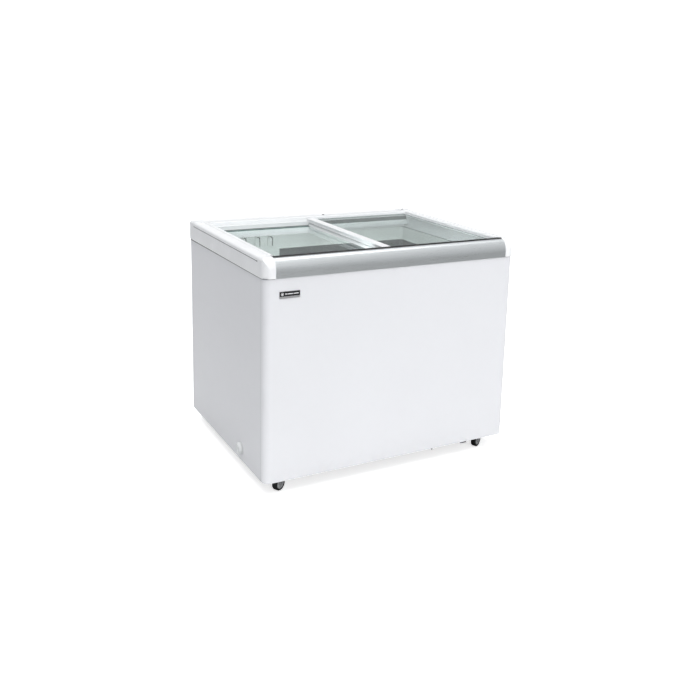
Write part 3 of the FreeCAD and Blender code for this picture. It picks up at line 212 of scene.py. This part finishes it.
def metal(name, base, rough=0.3, brush=(1, 60, 60), depth=0.12, shade=0.12, aniso=0.0, spots=0.0, wear=0.0, top=None):
    """Rolled or drawn metal with a directional grain; top = (z0, z1, colour) paints a highlight: the colour turns
    lighter above z0..z1 in place of light on a rounded top.
    """
    k = Tree(name)
    v = k.stretch(*brush)
    grain = k.noise(14, 4, 0.65, v)
    cloud = k.noise(5, 3, 0.5)
    dark = tuple(c * (1 - shade) for c in base)
    col = k.mix(k.map(grain, 0.3, 0.7, 0, 1), dark, base)
    col = k.mix(k.map(cloud, 0.35, 0.7, 0, 0.4), col, tuple(min(1, c * 1.08) for c in base))
    # painted highlight: colour mixed towards top[2] above z0..z1, standing for light on the rounded top
    if top:
        x, y, z = k.xyz(k.pos)
        col = k.mix(k.map(z, top[0], top[1], 0.0, 0.9, True), col, top[2])
    if spots:
        s = k.noise(75, 5, 0.7)
        col = k.mix(k.map(s, 0.60, 0.75, 0, spots), col, tuple(c * f for c, f in zip(base, (0.62, 0.60, 0.57))))
    if wear:
        col = k.mix(k.math("MULTIPLY", k.edge(0.001), wear), col, tuple(min(1, c * 1.25) for c in base))
    r = k.map(grain, 0.25, 0.75, rough - 0.06, rough + 0.10)
    n = k.bump(grain, depth, 0.0002)
    k.shader(col, r, 1.0, n, 0.5, 0.0, 0.1, aniso)
    return k.mat


def galvanised(name, base, rough=0.38, cell=55):
    k = Tree(name)
    vo = k.voronoi(cell, k.obj)
    hue = k.add("ShaderNodeSeparateColor")
    k.set(hue.inputs[0], vo.outputs["Color"])
    col = k.mix(k.map(hue.outputs[0], 0, 1, 0, 1), tuple(c * 0.91 for c in base), tuple(min(1, c * 1.05) for c in base))
    col = k.mix(k.map(k.noise(8, 4, 0.6), 0.45, 0.75, 0, 0.25), col, tuple(c * 0.80 for c in base))
    r = k.map(hue.outputs[1], 0, 1, rough, rough + 0.10)
    n = k.bump(k.noise(300, 2), 0.05, 0.0002)
    k.shader(col, r, 0.9, n)
    return k.mat


def stucco(name, base, rough=0.36):
    """Embossed aluminium liner sheet."""
    k = Tree(name)
    v1 = k.voronoi(150, k.obj, "SMOOTH_F1")
    v2 = k.voronoi(95, k.stretch(1, 1, 1.4), "SMOOTH_F1")
    h = k.math("ADD", v1.outputs["Distance"], k.math("MULTIPLY", v2.outputs["Distance"], 0.6))
    frost = k.noise(6, 5, 0.6)
    x, y, z = k.xyz()
    col = k.mix(k.map(h, 0.2, 1.0, 0, 1), tuple(c * 0.82 for c in base), base)
    col = k.mix(k.map(frost, 0.45, 0.8, 0, 0.35), col, tuple(min(1, c * 1.12 + 0.03) for c in base))
    n = k.bump(h, 0.45, 0.0012)
    k.shader(col, k.map(frost, 0.3, 0.7, rough, rough + 0.16), 0.85, n)
    return k.mat


def rubber(name, base, rough=0.62, dust=0.25):
    k = Tree(name)
    col = k.mix(k.map(k.noise(30, 4, 0.6), 0.4, 0.75, 0, 1), base, tuple(c * 1.6 + 0.01 for c in base))
    e = k.edge(0.0012)
    d = k.math("MULTIPLY", k.map(k.noise(60, 4, 0.7), 0.5, 0.72, 0, dust), 1.0)
    col = k.mix(d, col, (0.16, 0.155, 0.15))
    col = k.mix(k.math("MULTIPLY", e, 0.18), col, (0.12, 0.12, 0.12))
    n = k.bump(k.noise(700, 3, 0.6), 0.2, 0.0003)
    k.shader(col, k.map(k.noise(45, 3), 0.3, 0.7, rough - 0.08, rough + 0.1), 0.0, n, 0.35)
    return k.mat


def foam_mat(name, base):
    k = Tree(name)
    vo = k.voronoi(420, k.obj)
    col = k.mix(k.map(vo.outputs["Distance"], 0, 0.8, 0, 1), tuple(c * 0.82 for c in base), base)
    col = k.mix(k.map(k.noise(7, 4), 0.4, 0.7, 0, 0.4), col, tuple(c * f for c, f in zip(base, (0.95, 0.88, 0.72))))
    n = k.bump(vo.outputs["Distance"], 0.5, 0.001)
    k.shader(col, 0.9, 0.0, n, 0.2)
    return k.mat


def glass_mat(name, tint=(0.925, 0.962, 0.955)):
    """Thin toughened glass: tinted by its thickness, glossy, with faint smears and a faint light film along them."""
    k = Tree(name)
    gl = k.add("ShaderNodeBsdfGlossy")
    k.set(gl.inputs["Color"], (1, 1, 1))
    smear = k.noise(6, 5, 0.65, k.stretch(1.0, 2.2, 1.0), 0.8)
    k.set(gl.inputs["Roughness"], k.map(smear, 0.35, 0.8, 0.015, 0.07))
    tr = k.add("ShaderNodeBsdfTransparent")
    edge_z = k.geo.outputs["Normal"]
    sep = k.add("ShaderNodeSeparateXYZ")
    k.set(sep.inputs[0], edge_z)
    flat = k.math("ABSOLUTE", sep.outputs[2])
    side = k.map(flat, 0.3, 0.8, 1.0, 0.0)
    col = k.mix(k.map(smear, 0.3, 0.8, 0, 0.5), tint, tuple(c * 0.975 for c in tint))
    k.set(tr.inputs["Color"], col)
    fr = k.add("ShaderNodeFresnel")
    fr.inputs["IOR"].default_value = 1.50
    outer = k.math("SUBTRACT", 1.0, k.geo.outputs["Backfacing"], True)
    gleam = k.math("MULTIPLY", k.math("MULTIPLY", fr.outputs[0], outer), 0.9)
    n = k.bump(k.noise(2.5, 2), 0.02, 0.001)
    k.set(gl.inputs["Normal"], n)
    film = k.add("ShaderNodeBsdfDiffuse")
    k.set(film.inputs["Color"], (0.86, 0.90, 0.90))
    m0 = k.add("ShaderNodeMixShader")
    k.set(m0.inputs[0], k.map(smear, 0.45, 0.85, 0.015, 0.06))
    k.t.links.new(tr.outputs[0], m0.inputs[1])
    k.t.links.new(film.outputs[0], m0.inputs[2])
    m1 = k.add("ShaderNodeMixShader")
    k.set(m1.inputs[0], gleam)
    k.t.links.new(m0.outputs[0], m1.inputs[1])
    k.t.links.new(gl.outputs[0], m1.inputs[2])
    ed = k.add("ShaderNodeBsdfPrincipled")
    k.set(ed.inputs["Base Color"], (0.10, 0.17, 0.16))
    k.set(ed.inputs["Roughness"], 0.18)
    m2 = k.add("ShaderNodeMixShader")
    k.set(m2.inputs[0], k.math("MULTIPLY", side, 0.85))
    k.t.links.new(m1.outputs[0], m2.inputs[1])
    k.t.links.new(ed.outputs[0], m2.inputs[2])
    k.t.links.new(m2.outputs[0], k.out.inputs["Surface"])
    return k.mat


MATS = {
    "white_sheet": sheet_paint("white_sheet", (0.80, 0.808, 0.832), 0.34, 0.015, 0.16),
    "base_sheet": galvanised("base_sheet", (0.52, 0.53, 0.54)),
    "foam": foam_mat("foam", (0.78, 0.68, 0.45)),
    "liner_sheet": stucco("liner_sheet", (0.36, 0.385, 0.39)),
    "light_plastic": moulded("light_plastic", (0.80, 0.83, 0.81), 0.36, 180, 0.05, 0.03, steady=True),
    # rail_aluminium carries a painted highlight: lighter colour above z 0.802-0.834 m on the rail's rounded top
    "rail_aluminium": metal("rail_aluminium", (0.69, 0.72, 0.73), 0.30, (1, 90, 90), 0.04, 0.05, top=(0.802, 0.834, (0.90, 0.93, 0.94))),
    "black_plastic": moulded("black_plastic", (0.012, 0.012, 0.013), 0.42, 240, 0.15, 0.3, 0.12),
    "white_plastic": moulded("white_plastic", (0.89, 0.90, 0.91), 0.33, 220, 0.03, 0.02, steady=True),
    "screw_steel": metal("screw_steel", (0.17, 0.17, 0.18), 0.38, (30, 30, 30), 0.1, 0.2, 0.0, 0.2),
    "badge_silver": metal("badge_silver", (0.66, 0.66, 0.67), 0.28, (1, 120, 120), 0.06, 0.1),
    "badge_black": moulded("badge_black", (0.008, 0.007, 0.010), 0.22, 400, 0.03, 0.2, 0.0, 0.4),
    "lid_glass": glass_mat("lid_glass"),
    "seal_grey": moulded("seal_grey", (0.60, 0.63, 0.64), 0.5, 300, 0.1, 0.08, 0.0),
    "black_rubber": rubber("black_rubber", (0.018, 0.018, 0.019)),
    "black_paint": sheet_paint("black_paint", (0.017, 0.017, 0.018), 0.42, 0.3, 0.0),
    "fin_aluminium": metal("fin_aluminium", (0.68, 0.69, 0.70), 0.34, (4, 4, 90), 0.2, 0.2, 0.0, 0.15),
    "copper_tube": metal("copper_tube", (0.72, 0.36, 0.22), 0.30, (8, 8, 8), 0.05, 0.25, 0.0, 0.35),
    "fan_plastic": moulded("fan_plastic", (0.030, 0.031, 0.034), 0.4, 300, 0.15, 0.2, 0.0, 0.0, 0.15),
    "zinc_steel": galvanised("zinc_steel", (0.60, 0.61, 0.62), 0.32, 180),
    "hub_grey": moulded("hub_grey", (0.40, 0.405, 0.41), 0.45, 300, 0.15, 0.1, 0.3, 0.0, 0.15),
    "tyre_black": rubber("tyre_black", (0.004, 0.004, 0.0045), 0.50, 0.05),
}
SLOTS = {s["node"]: s["material_slot"] for s in frame["record"]["subparts"]}

# drain parts: a darker copy of the white plastic, painted shade, with real dust mixed in
DRAIN_SHADED = moulded("drain_dust_and_shade", (0.72, 0.735, 0.74), 0.36, 240, 0.06, 0.05, dust=0.15, steady=True)
# rear rail: a darker copy of the white plastic, painted shade that tones down the light on the rail's top
REAR_SHADED = moulded("rear_rail_painted_shade", (0.80, 0.81, 0.82), 0.36, 220, 0.03, 0.02, steady=True)
SPECIAL = {"drain_bushing": DRAIN_SHADED, "drain_slider": DRAIN_SHADED, "drain_knob": DRAIN_SHADED, "rear_rail": REAR_SHADED}

for name, ob in NODES.items():
    ob.data.materials.clear()
    ob.data.materials.append(SPECIAL.get(name) or MATS[SLOTS[name]])


# ---------------------------------------------------------------- built pieces (millimetres in, metres out)
def build(name, rings, slot, body="cabinet", closed=False, caps=True, crease=32):
    """A skin stretched over rings of points; every ring has the same number of points."""
    bm = bmesh.new()
    rows = [[bm.verts.new(Vector(p) * MM) for p in ring] for ring in rings]
    n = len(rows[0])
    pairs = list(zip(rows, rows[1:])) + ([(rows[-1], rows[0])] if closed else [])
    for lo_row, hi_row in pairs:
        for i in range(n):
            j = (i + 1) % n
            bm.faces.new((lo_row[i], lo_row[j], hi_row[j], hi_row[i]))
    if caps and not closed:
        bm.faces.new(rows[0][::-1])
        bm.faces.new(rows[-1])
    bmesh.ops.recalc_face_normals(bm, faces=bm.faces)
    me = bpy.data.meshes.new(name)
    bm.to_mesh(me)
    bm.free()
    return place(name, me, slot, body, crease)


def place(name, me, slot, body="cabinet", crease=32, mat=None):
    for p in me.polygons:
        p.use_smooth = True
    me.set_sharp_from_angle(angle=math.radians(crease))
    me.materials.append(mat or MATS[slot])
    ob = bpy.data.objects.new(name, me)
    bpy.context.scene.collection.objects.link(ob)
    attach(ob, body)
    return ob


def turned(axis, at, profile, radius=lambda a, r: r, seg=36, spin=0.0):
    """Rings of a turned shape: profile is (radius, height) along axis from the point at."""
    out = []
    ax = Vector(axis).normalized()
    u = ax.orthogonal().normalized()
    v = ax.cross(u)
    for r, h in profile:
        ring = []
        for i in range(seg):
            a = 2 * math.pi * i / seg
            rr = radius(a, r)
            d = u * math.cos(a + spin) + v * math.sin(a + spin)
            ring.append(tuple(Vector(at) + ax * h + d * rr))
        out.append(ring)
    return out


def merged(name, parts, slot, body="cabinet", crease=32, mat=None):
    """Several closed skins in one mesh."""
    bm = bmesh.new()
    for rings in parts:
        rows = [[bm.verts.new(Vector(p) * MM) for p in ring] for ring in rings]
        n = len(rows[0])
        for lo_row, hi_row in zip(rows, rows[1:]):
            for i in range(n):
                j = (i + 1) % n
                bm.faces.new((lo_row[i], lo_row[j], hi_row[j], hi_row[i]))
        bm.faces.new(rows[0][::-1])
        bm.faces.new(rows[-1])
    bmesh.ops.recalc_face_normals(bm, faces=bm.faces)
    me = bpy.data.meshes.new(name)
    bm.to_mesh(me)
    bm.free()
    return place(name, me, slot, body, crease, mat)


def screw_rings(axis, at, r=3.6, h=1.5, spin=0.0):
    """Pan head with a cross recess: the inner rings drop where the cross runs."""
    seg, cross = 40, 0.26 * r
    rings = turned(axis, at, [(r, 0.0), (r, h * 0.45), (r * 0.93, h * 0.75), (r * 0.8, h * 0.93)], seg=seg, spin=spin)
    ax = Vector(axis).normalized()
    for k in (0.64, 0.56, 0.50, 0.36, 0.30, 0.14):
        ring = turned(axis, at, [(r * k, h)], seg=seg, spin=spin)[0]
        pts = []
        for i, p in enumerate(ring):
            a = 2 * math.pi * i / seg
            deep = min(abs(math.cos(a)), abs(math.sin(a))) * r * k < cross * 0.62 and k < 0.6
            pts.append(tuple(Vector(p) - ax * (h * 0.62 if deep else 0.0)))
        rings.append(pts)
    return rings


def bolt_rings(axis, at, across=8.0, h=3.0, spin=0.0):
    """Hexagon head on a pressed washer face."""
    def hexa(a, r):
        return r / math.cos((a % (math.pi / 3)) - math.pi / 6)
    base = turned(axis, at, [(across * 0.60, 0.0), (across * 0.60, 0.5), (across * 0.56, 0.8)], seg=36, spin=spin)
    head = turned(axis, at, [(across * 0.5, 0.85), (across * 0.5, h - 0.5), (across * 0.46, h), (across * 0.28, h), (across * 0.24, h - 0.35)],
                  hexa, 36, spin)
    return base + head


# thin black strip where the moulded frame sits on the panels: painted shadow standing for the shade gap under the
# frame's lip
def shadow_strip_path():
    hw, hd, rf, rr, z = 510.0, 395.0, 24.0, 12.0, 774.0
    pts = [(-472.0, -hd, 0.0, -1.0)]
    def arc(cx, cy, r, a0, a1, n=10):
        for i in range(n + 1):
            a = math.radians(a0 + (a1 - a0) * i / n)
            pts.append((cx + r * math.cos(a), cy + r * math.sin(a), math.cos(a), math.sin(a)))
    arc(-hw + rf, -hd + rf, rf, 270, 180)
    arc(-hw + rr, hd - rr, rr, 180, 90)
    arc(hw - rr, hd - rr, rr, 90, 0)
    arc(hw - rf, -hd + rf, rf, 0, -90)
    pts.append((472.0, -hd, 0.0, -1.0))
    return pts, z


gp, gz = shadow_strip_path()
rings = []
for x, y, nx, ny in gp:
    thin = 0.32 + 0.68 * min(1.0, max(0.0, (y + 382.0) / 26.0))
    rings.append([(x + nx * d, y + ny * d, gz + h * thin) for d, h in
                  ((-0.3, 0.0), (1.5, 0.0), (1.7, -0.6), (1.7, -3.2), (1.2, -4.2), (-0.3, -4.2))])
build("frame_painted_shadow", rings, "black_rubber")

# sealing bead in the joint between the wrapped front sheet and each side sheet
for tag, sg in (("left", -1), ("right", 1)):
    build("corner_joint_" + tag, [[(sg * x, y, z) for x, y in ((509.6, -365.7), (510.15, -365.6), (510.3, -365.2), (510.3, -364.4), (510.15, -364.0), (509.6, -363.9))]
                                  for z in (53.0, 240.0, 500.0, 769.0)], "seal_grey")

# plain emblem on the name plate: a six-armed flake and a row of bars
badge = []
fx, fz, fy = -447.0, 720.0, -397.2
def bar(x0, z0, x1, z1, w, t=0.28):
    d = Vector((x1 - x0, 0, z1 - z0))
    u = d.normalized()
    n = Vector((-u.z, 0, u.x))
    out = []
    for y, k in ((fy + 0.3, 1.0), (fy - t * 0.6, 1.0), (fy - t, 0.72)):
        ring = []
        for e, s0 in ((Vector((x0, 0, z0)), -1), (Vector((x1, 0, z1)), 1)):
            for i in range(7):
                a = math.pi / 2 - s0 * math.pi / 2 + math.pi * (i / 6.0) - math.pi / 2 + (math.pi if s0 < 0 else 0) + (math.pi if s0 < 0 else 0)
                q = e + (u * math.cos(a) + n * math.sin(a)) * (w * 0.5 * k)
                ring.append((q.x, y, q.z))
        out.append(ring)
    return out


for i in range(6):
    a = math.radians(30 + 60 * i)
    c, sn = math.cos(a), math.sin(a)
    badge.append(bar(fx + 0.6 * c, fz + 0.6 * sn, fx + 5.4 * c, fz + 5.4 * sn, 1.1))
    for side in (-1, 1):
        b2 = a + side * math.radians(48)
        badge.append(bar(fx + 3.0 * c, fz + 3.0 * sn, fx + 3.0 * c + 1.9 * math.cos(b2), fz + 3.0 * sn + 1.9 * math.sin(b2), 0.8))
for x0, x1 in ((-436.0, -430.0), (-425.5, -408.5), (-404.0, -388.5)):
    badge.append(bar(x0, 720.0, x1, 720.0, 2.6))
merged("badge_emblem", badge, "white_plastic")

# arched mouths of the air cover: a black plate paints the shade inside each arch, and the light baffle hung in front of
# it, set off to one side, leaves a painted shadow line round it, widest along the top and right side
def arch_outline(xc, half, z0, z1, n=14):
    top = [(xc + half * math.cos(math.pi * j / n), z1 + half * math.sin(math.pi * j / n)) for j in range(n + 1)]
    return [(xc + half, z0)] + top + [(xc - half, z0)]


for i, xc in enumerate((-313.0, -253.0, -197.0)):
    build("vent_painted_shade_%d" % (i + 1), [[(x, y, z) for x, z in arch_outline(xc, 9.4, 736.3, 768.0)] for y in (305.6, 304.4)], "black_plastic")
    rings = []
    for y, k in ((304.5, 0.0), (301.4, 0.0), (300.9, 0.5)):
        rings.append([(x, y, z) for x, z in arch_outline(xc - 1.1, 7.3 - k, 736.4 + k, 766.0)])
    build("vent_baffle_%d" % (i + 1), rings, "light_plastic")

# dark beads lying in the grooves of the side rails, with a plug at the front end
def raked(y, z):
    return z + math.tan(math.radians(0.4)) * (y + 398.0)


for tag, sg in (("left", -1), ("right", 1)):
    bead = [[(sg * x, y, raked(y, z)) for x, z in ((510.8, 824.1), (512.3, 824.1), (512.6, 824.5), (512.6, 825.5), (512.3, 825.9), (510.8, 825.9))]
            for y in (-339.6, -200.0, 0.0, 200.0, 339.6)]
    plug = [[(sg * x, y, raked(-337.0, 825.0) + h * k) for y, h in ((-339.8, -1.3), (-339.2, -2.0), (-335.4, -2.0), (-334.6, -1.2), (-334.6, 1.2), (-335.4, 2.0), (-339.2, 2.0), (-339.8, 1.3))]
            for x, k in ((512.4, 1.0), (513.1, 1.0), (513.3, 0.82))]
    merged(tag + "_rail_bead", [bead, plug], "black_rubber")

# dark grey sheet on the riser behind the right lid and a thin dark line behind the left lid: painted shade for the
# shadowed riser and a painted shadow line along the rear track
track_shade_mat = moulded("track_painted_shade", (0.15, 0.175, 0.17), 0.5, 320, 0.15, 0.2)
merged("rear_riser_painted_shade", [[[(x, y, raked(y, z)) for y, z in ((291.0, 808.8), (290.0, 808.8), (289.5, 809.4), (289.4, 826.5), (289.9, 827.2), (304.2, 827.2), (304.4, 826.9), (291.0, 826.9))]
                             for x in (14.0, 160.0, 306.0, 452.0)]], "seal_grey", mat=track_shade_mat)
merged("rear_painted_shadow_line", [[[(x, y, z) for y, z in ((291.0, 813.0), (290.0, 813.0), (289.5, 813.4), (289.4, 815.4), (289.9, 816.0), (291.0, 816.0))]
                             for x in (-452.0, -310.0, -170.0, -30.0)]], "seal_grey", mat=track_shade_mat)

# fixings
merged("rear_cover_screws", [screw_rings((0, 1, 0), (x, 396.2, z), 3.8, 1.5, random.uniform(0, 1.5))
                             for x, z in ((261, 91), (358, 91), (456, 91), (261, 313), (358, 313), (456, 313))], "screw_steel")
merged("side_grille_screws", [screw_rings((1, 0, 0), (512.0, y, z), 3.4, 1.4, random.uniform(0, 1.5))
                              for y in (111, 329) for z in (111, 289)], "screw_steel")
for tag, sx, sy in (("front_left", -1, -1), ("front_right", 1, -1), ("rear_left", -1, 1), ("rear_right", 1, 1)):
    merged("castor_bolts_" + tag, [bolt_rings((0, 0, -1), (sx * 426 + dx, sy * 345 + dy, 69.0), 8.0, 3.0, random.uniform(0, 1.0))
                                   for dx in (-22, 22) for dy in (-22, 22)], "zinc_steel")


# ---------------------------------------------------------------- stage
def make_stage():
    bm = bmesh.new()
    prof = []
    for i in range(0, 13):
        a = math.pi / 2 * i / 12
        prof.append((6.0 + 3.0 * math.sin(a), 3.0 - 3.0 * math.cos(a)))
    pts = [(-9.0, 0.0), (6.0, 0.0)] + prof[1:] + [(9.0, 9.0)]
    rows = []
    for y, z in pts:
        rows.append([bm.verts.new((x, y, z)) for x in (-14.0, 14.0)])
    for a, b in zip(rows, rows[1:]):
        bm.faces.new((a[0], a[1], b[1], b[0]))
    me = bpy.data.meshes.new("stage_floor")
    bm.to_mesh(me)
    bm.free()
    for p in me.polygons:
        p.use_smooth = True
    ob = bpy.data.objects.new("stage_floor", me)
    bpy.context.scene.collection.objects.link(ob)
    k = Tree("stage_white")
    lp = k.add("ShaderNodeLightPath")
    c = k.mix(k.map(k.noise(1.5, 3), 0.3, 0.7, 0, 1), (0.90, 0.90, 0.90), (0.92, 0.92, 0.92))
    x, y, z = k.xyz()
    dim = k.map(x, -2.5, 2.5, 0.50, 0.30, True)
    grey = k.add("ShaderNodeCombineColor")
    for i in range(3):
        k.set(grey.inputs[i], dim)
    c = k.mix(lp.outputs["Is Glossy Ray"], c, grey.outputs[0])
    shade = k.math("MULTIPLY", k.map(x, -3.0, -0.55, 1.0, 0.0, True), lp.outputs["Is Diffuse Ray"])
    c = k.mix(shade, c, (0.30, 0.31, 0.33))
    sh = k.shader(c, 0.75, 0.0, k.bump(k.noise(120, 2), 0.03, 0.0005), 0.2)
    k.set(sh.inputs["Emission Color"], (1, 1, 1))
    k.set(sh.inputs["Emission Strength"], k.math("MULTIPLY", lp.outputs["Is Camera Ray"], 0.66))
    me.materials.append(k.mat)
    return ob


make_stage()


def area(name, loc, target, size, power, color=(1, 1, 1), size_y=None, glossy=True):
    d = bpy.data.lights.new(name, "AREA")
    d.energy = power
    d.color = color
    d.size = size
    if size_y:
        d.shape = "RECTANGLE"
        d.size_y = size_y
    o = bpy.data.objects.new(name, d)
    o.location = loc
    o.rotation_mode = "QUATERNION"
    o.rotation_quaternion = (Vector(target) - Vector(loc)).to_track_quat("-Z", "Y")
    bpy.context.scene.collection.objects.link(o)
    return o


def sun(name, direction, strength, angle, color=(1, 1, 1)):
    d = bpy.data.lights.new(name, "SUN")
    d.energy = strength * math.pi
    d.angle = math.radians(angle)
    d.color = color
    o = bpy.data.objects.new(name, d)
    o.rotation_mode = "QUATERNION"
    o.rotation_quaternion = Vector(direction).to_track_quat("-Z", "Y")
    bpy.context.scene.collection.objects.link(o)
    return o


world = bpy.data.worlds.new("studio")
bpy.context.scene.world = world
world.use_nodes = True
wt = world.node_tree
bg = wt.nodes["Background"]
tcw = wt.nodes.new("ShaderNodeTexCoord")
sxw = wt.nodes.new("ShaderNodeSeparateXYZ")
wt.links.new(tcw.outputs["Generated"], sxw.inputs[0])
mrw = wt.nodes.new("ShaderNodeMapRange")
mrw.interpolation_type = "SMOOTHSTEP"
wt.links.new(sxw.outputs[0], mrw.inputs[0])
for i, v in ((1, -0.9), (2, 0.3), (3, 0.298), (4, 0.595)):
    mrw.inputs[i].default_value = v
bg.inputs[0].default_value = (0.975, 0.985, 1.0, 1)
mrz = wt.nodes.new("ShaderNodeMapRange")
mrz.interpolation_type = "SMOOTHSTEP"
wt.links.new(sxw.outputs[2], mrz.inputs[0])
for i, v in ((1, 0.45), (2, 1.0), (3, 0.0), (4, 0.11)):
    mrz.inputs[i].default_value = v
sumw = wt.nodes.new("ShaderNodeMath")
sumw.operation = "ADD"
wt.links.new(mrw.outputs[0], sumw.inputs[0])
wt.links.new(mrz.outputs[0], sumw.inputs[1])
# beyond the stage the camera sees plain white
lpw = wt.nodes.new("ShaderNodeLightPath")
maxw = wt.nodes.new("ShaderNodeMath")
maxw.operation = "MAXIMUM"
wt.links.new(sumw.outputs[0], maxw.inputs[0])
camw = wt.nodes.new("ShaderNodeMath")
camw.operation = "MULTIPLY"
camw.inputs[1].default_value = 1.05
wt.links.new(lpw.outputs["Is Camera Ray"], camw.inputs[0])
wt.links.new(camw.outputs[0], maxw.inputs[1])
wt.links.new(maxw.outputs[0], bg.inputs[1])

sun("top_soft", (0.05, 0.12, -1.0), 0.64, 60)
sun("front_soft", (0.16, 1.0, -0.50), 0.20, 40, (1.0, 0.995, 1.0))
fill = area("tub_fill", (-0.05, -0.29, 0.775), (-0.02, 0.3, 0.60), 0.78, 2.4, (0.98, 1.0, 1.0), 0.06)
fill.visible_camera = False
fill.visible_glossy = False

# ---------------------------------------------------------------- camera at the picture's angle
CAM = (-1.51741, -2.85374, 1.412574)
YAW, PITCH, ROLL = 0.498740599, 0.204428549, 0.0246072049
FOCAL, PPX, PPY = 837.200975, 354.780333, 254.796941
fw = Vector((math.sin(YAW) * math.cos(PITCH), math.cos(YAW) * math.cos(PITCH), -math.sin(PITCH)))
rt = fw.cross(Vector((0, 0, 1))).normalized()
up = rt.cross(fw)
r2 = rt * math.cos(ROLL) + up * math.sin(ROLL)
u2 = up * math.cos(ROLL) - rt * math.sin(ROLL)
cam_data = bpy.data.cameras.new("picture_camera")
cam = bpy.data.objects.new("picture_camera", cam_data)
bpy.context.scene.collection.objects.link(cam)
cam.rotation_mode = "QUATERNION"
cam.location = CAM
m = Matrix((r2, u2, -fw)).transposed()
cam.rotation_quaternion = m.to_quaternion()
cam_data.sensor_fit = "HORIZONTAL"
cam_data.sensor_width = 36.0
cam_data.lens = FOCAL * 36.0 / 700.0
cam_data.clip_start, cam_data.clip_end = 0.05, 60.0
bpy.context.scene.camera = cam

# the picture is cropped off centre: the lens shift holds only while the camera stands at the picture's place
for prop, value in (("shift_x", (350 - PPX) / 700.0), ("shift_y", (PPY - 350) / 700.0)):
    setattr(cam_data, prop, value)
    d = cam_data.driver_add(prop).driver
    d.type = "SCRIPTED"
    v = d.variables.new()
    v.name = "px"
    v.type = "SINGLE_PROP"
    v.targets[0].id = cam
    v.targets[0].data_path = "location[0]"
    d.expression = "%.6f if abs(px + 1.51741) < 0.0005 else 0.0" % value

bpy.context.scene.view_settings.view_transform = "Standard"
bpy.context.scene.view_settings.look = "None"

bpy.context.view_layer.update()
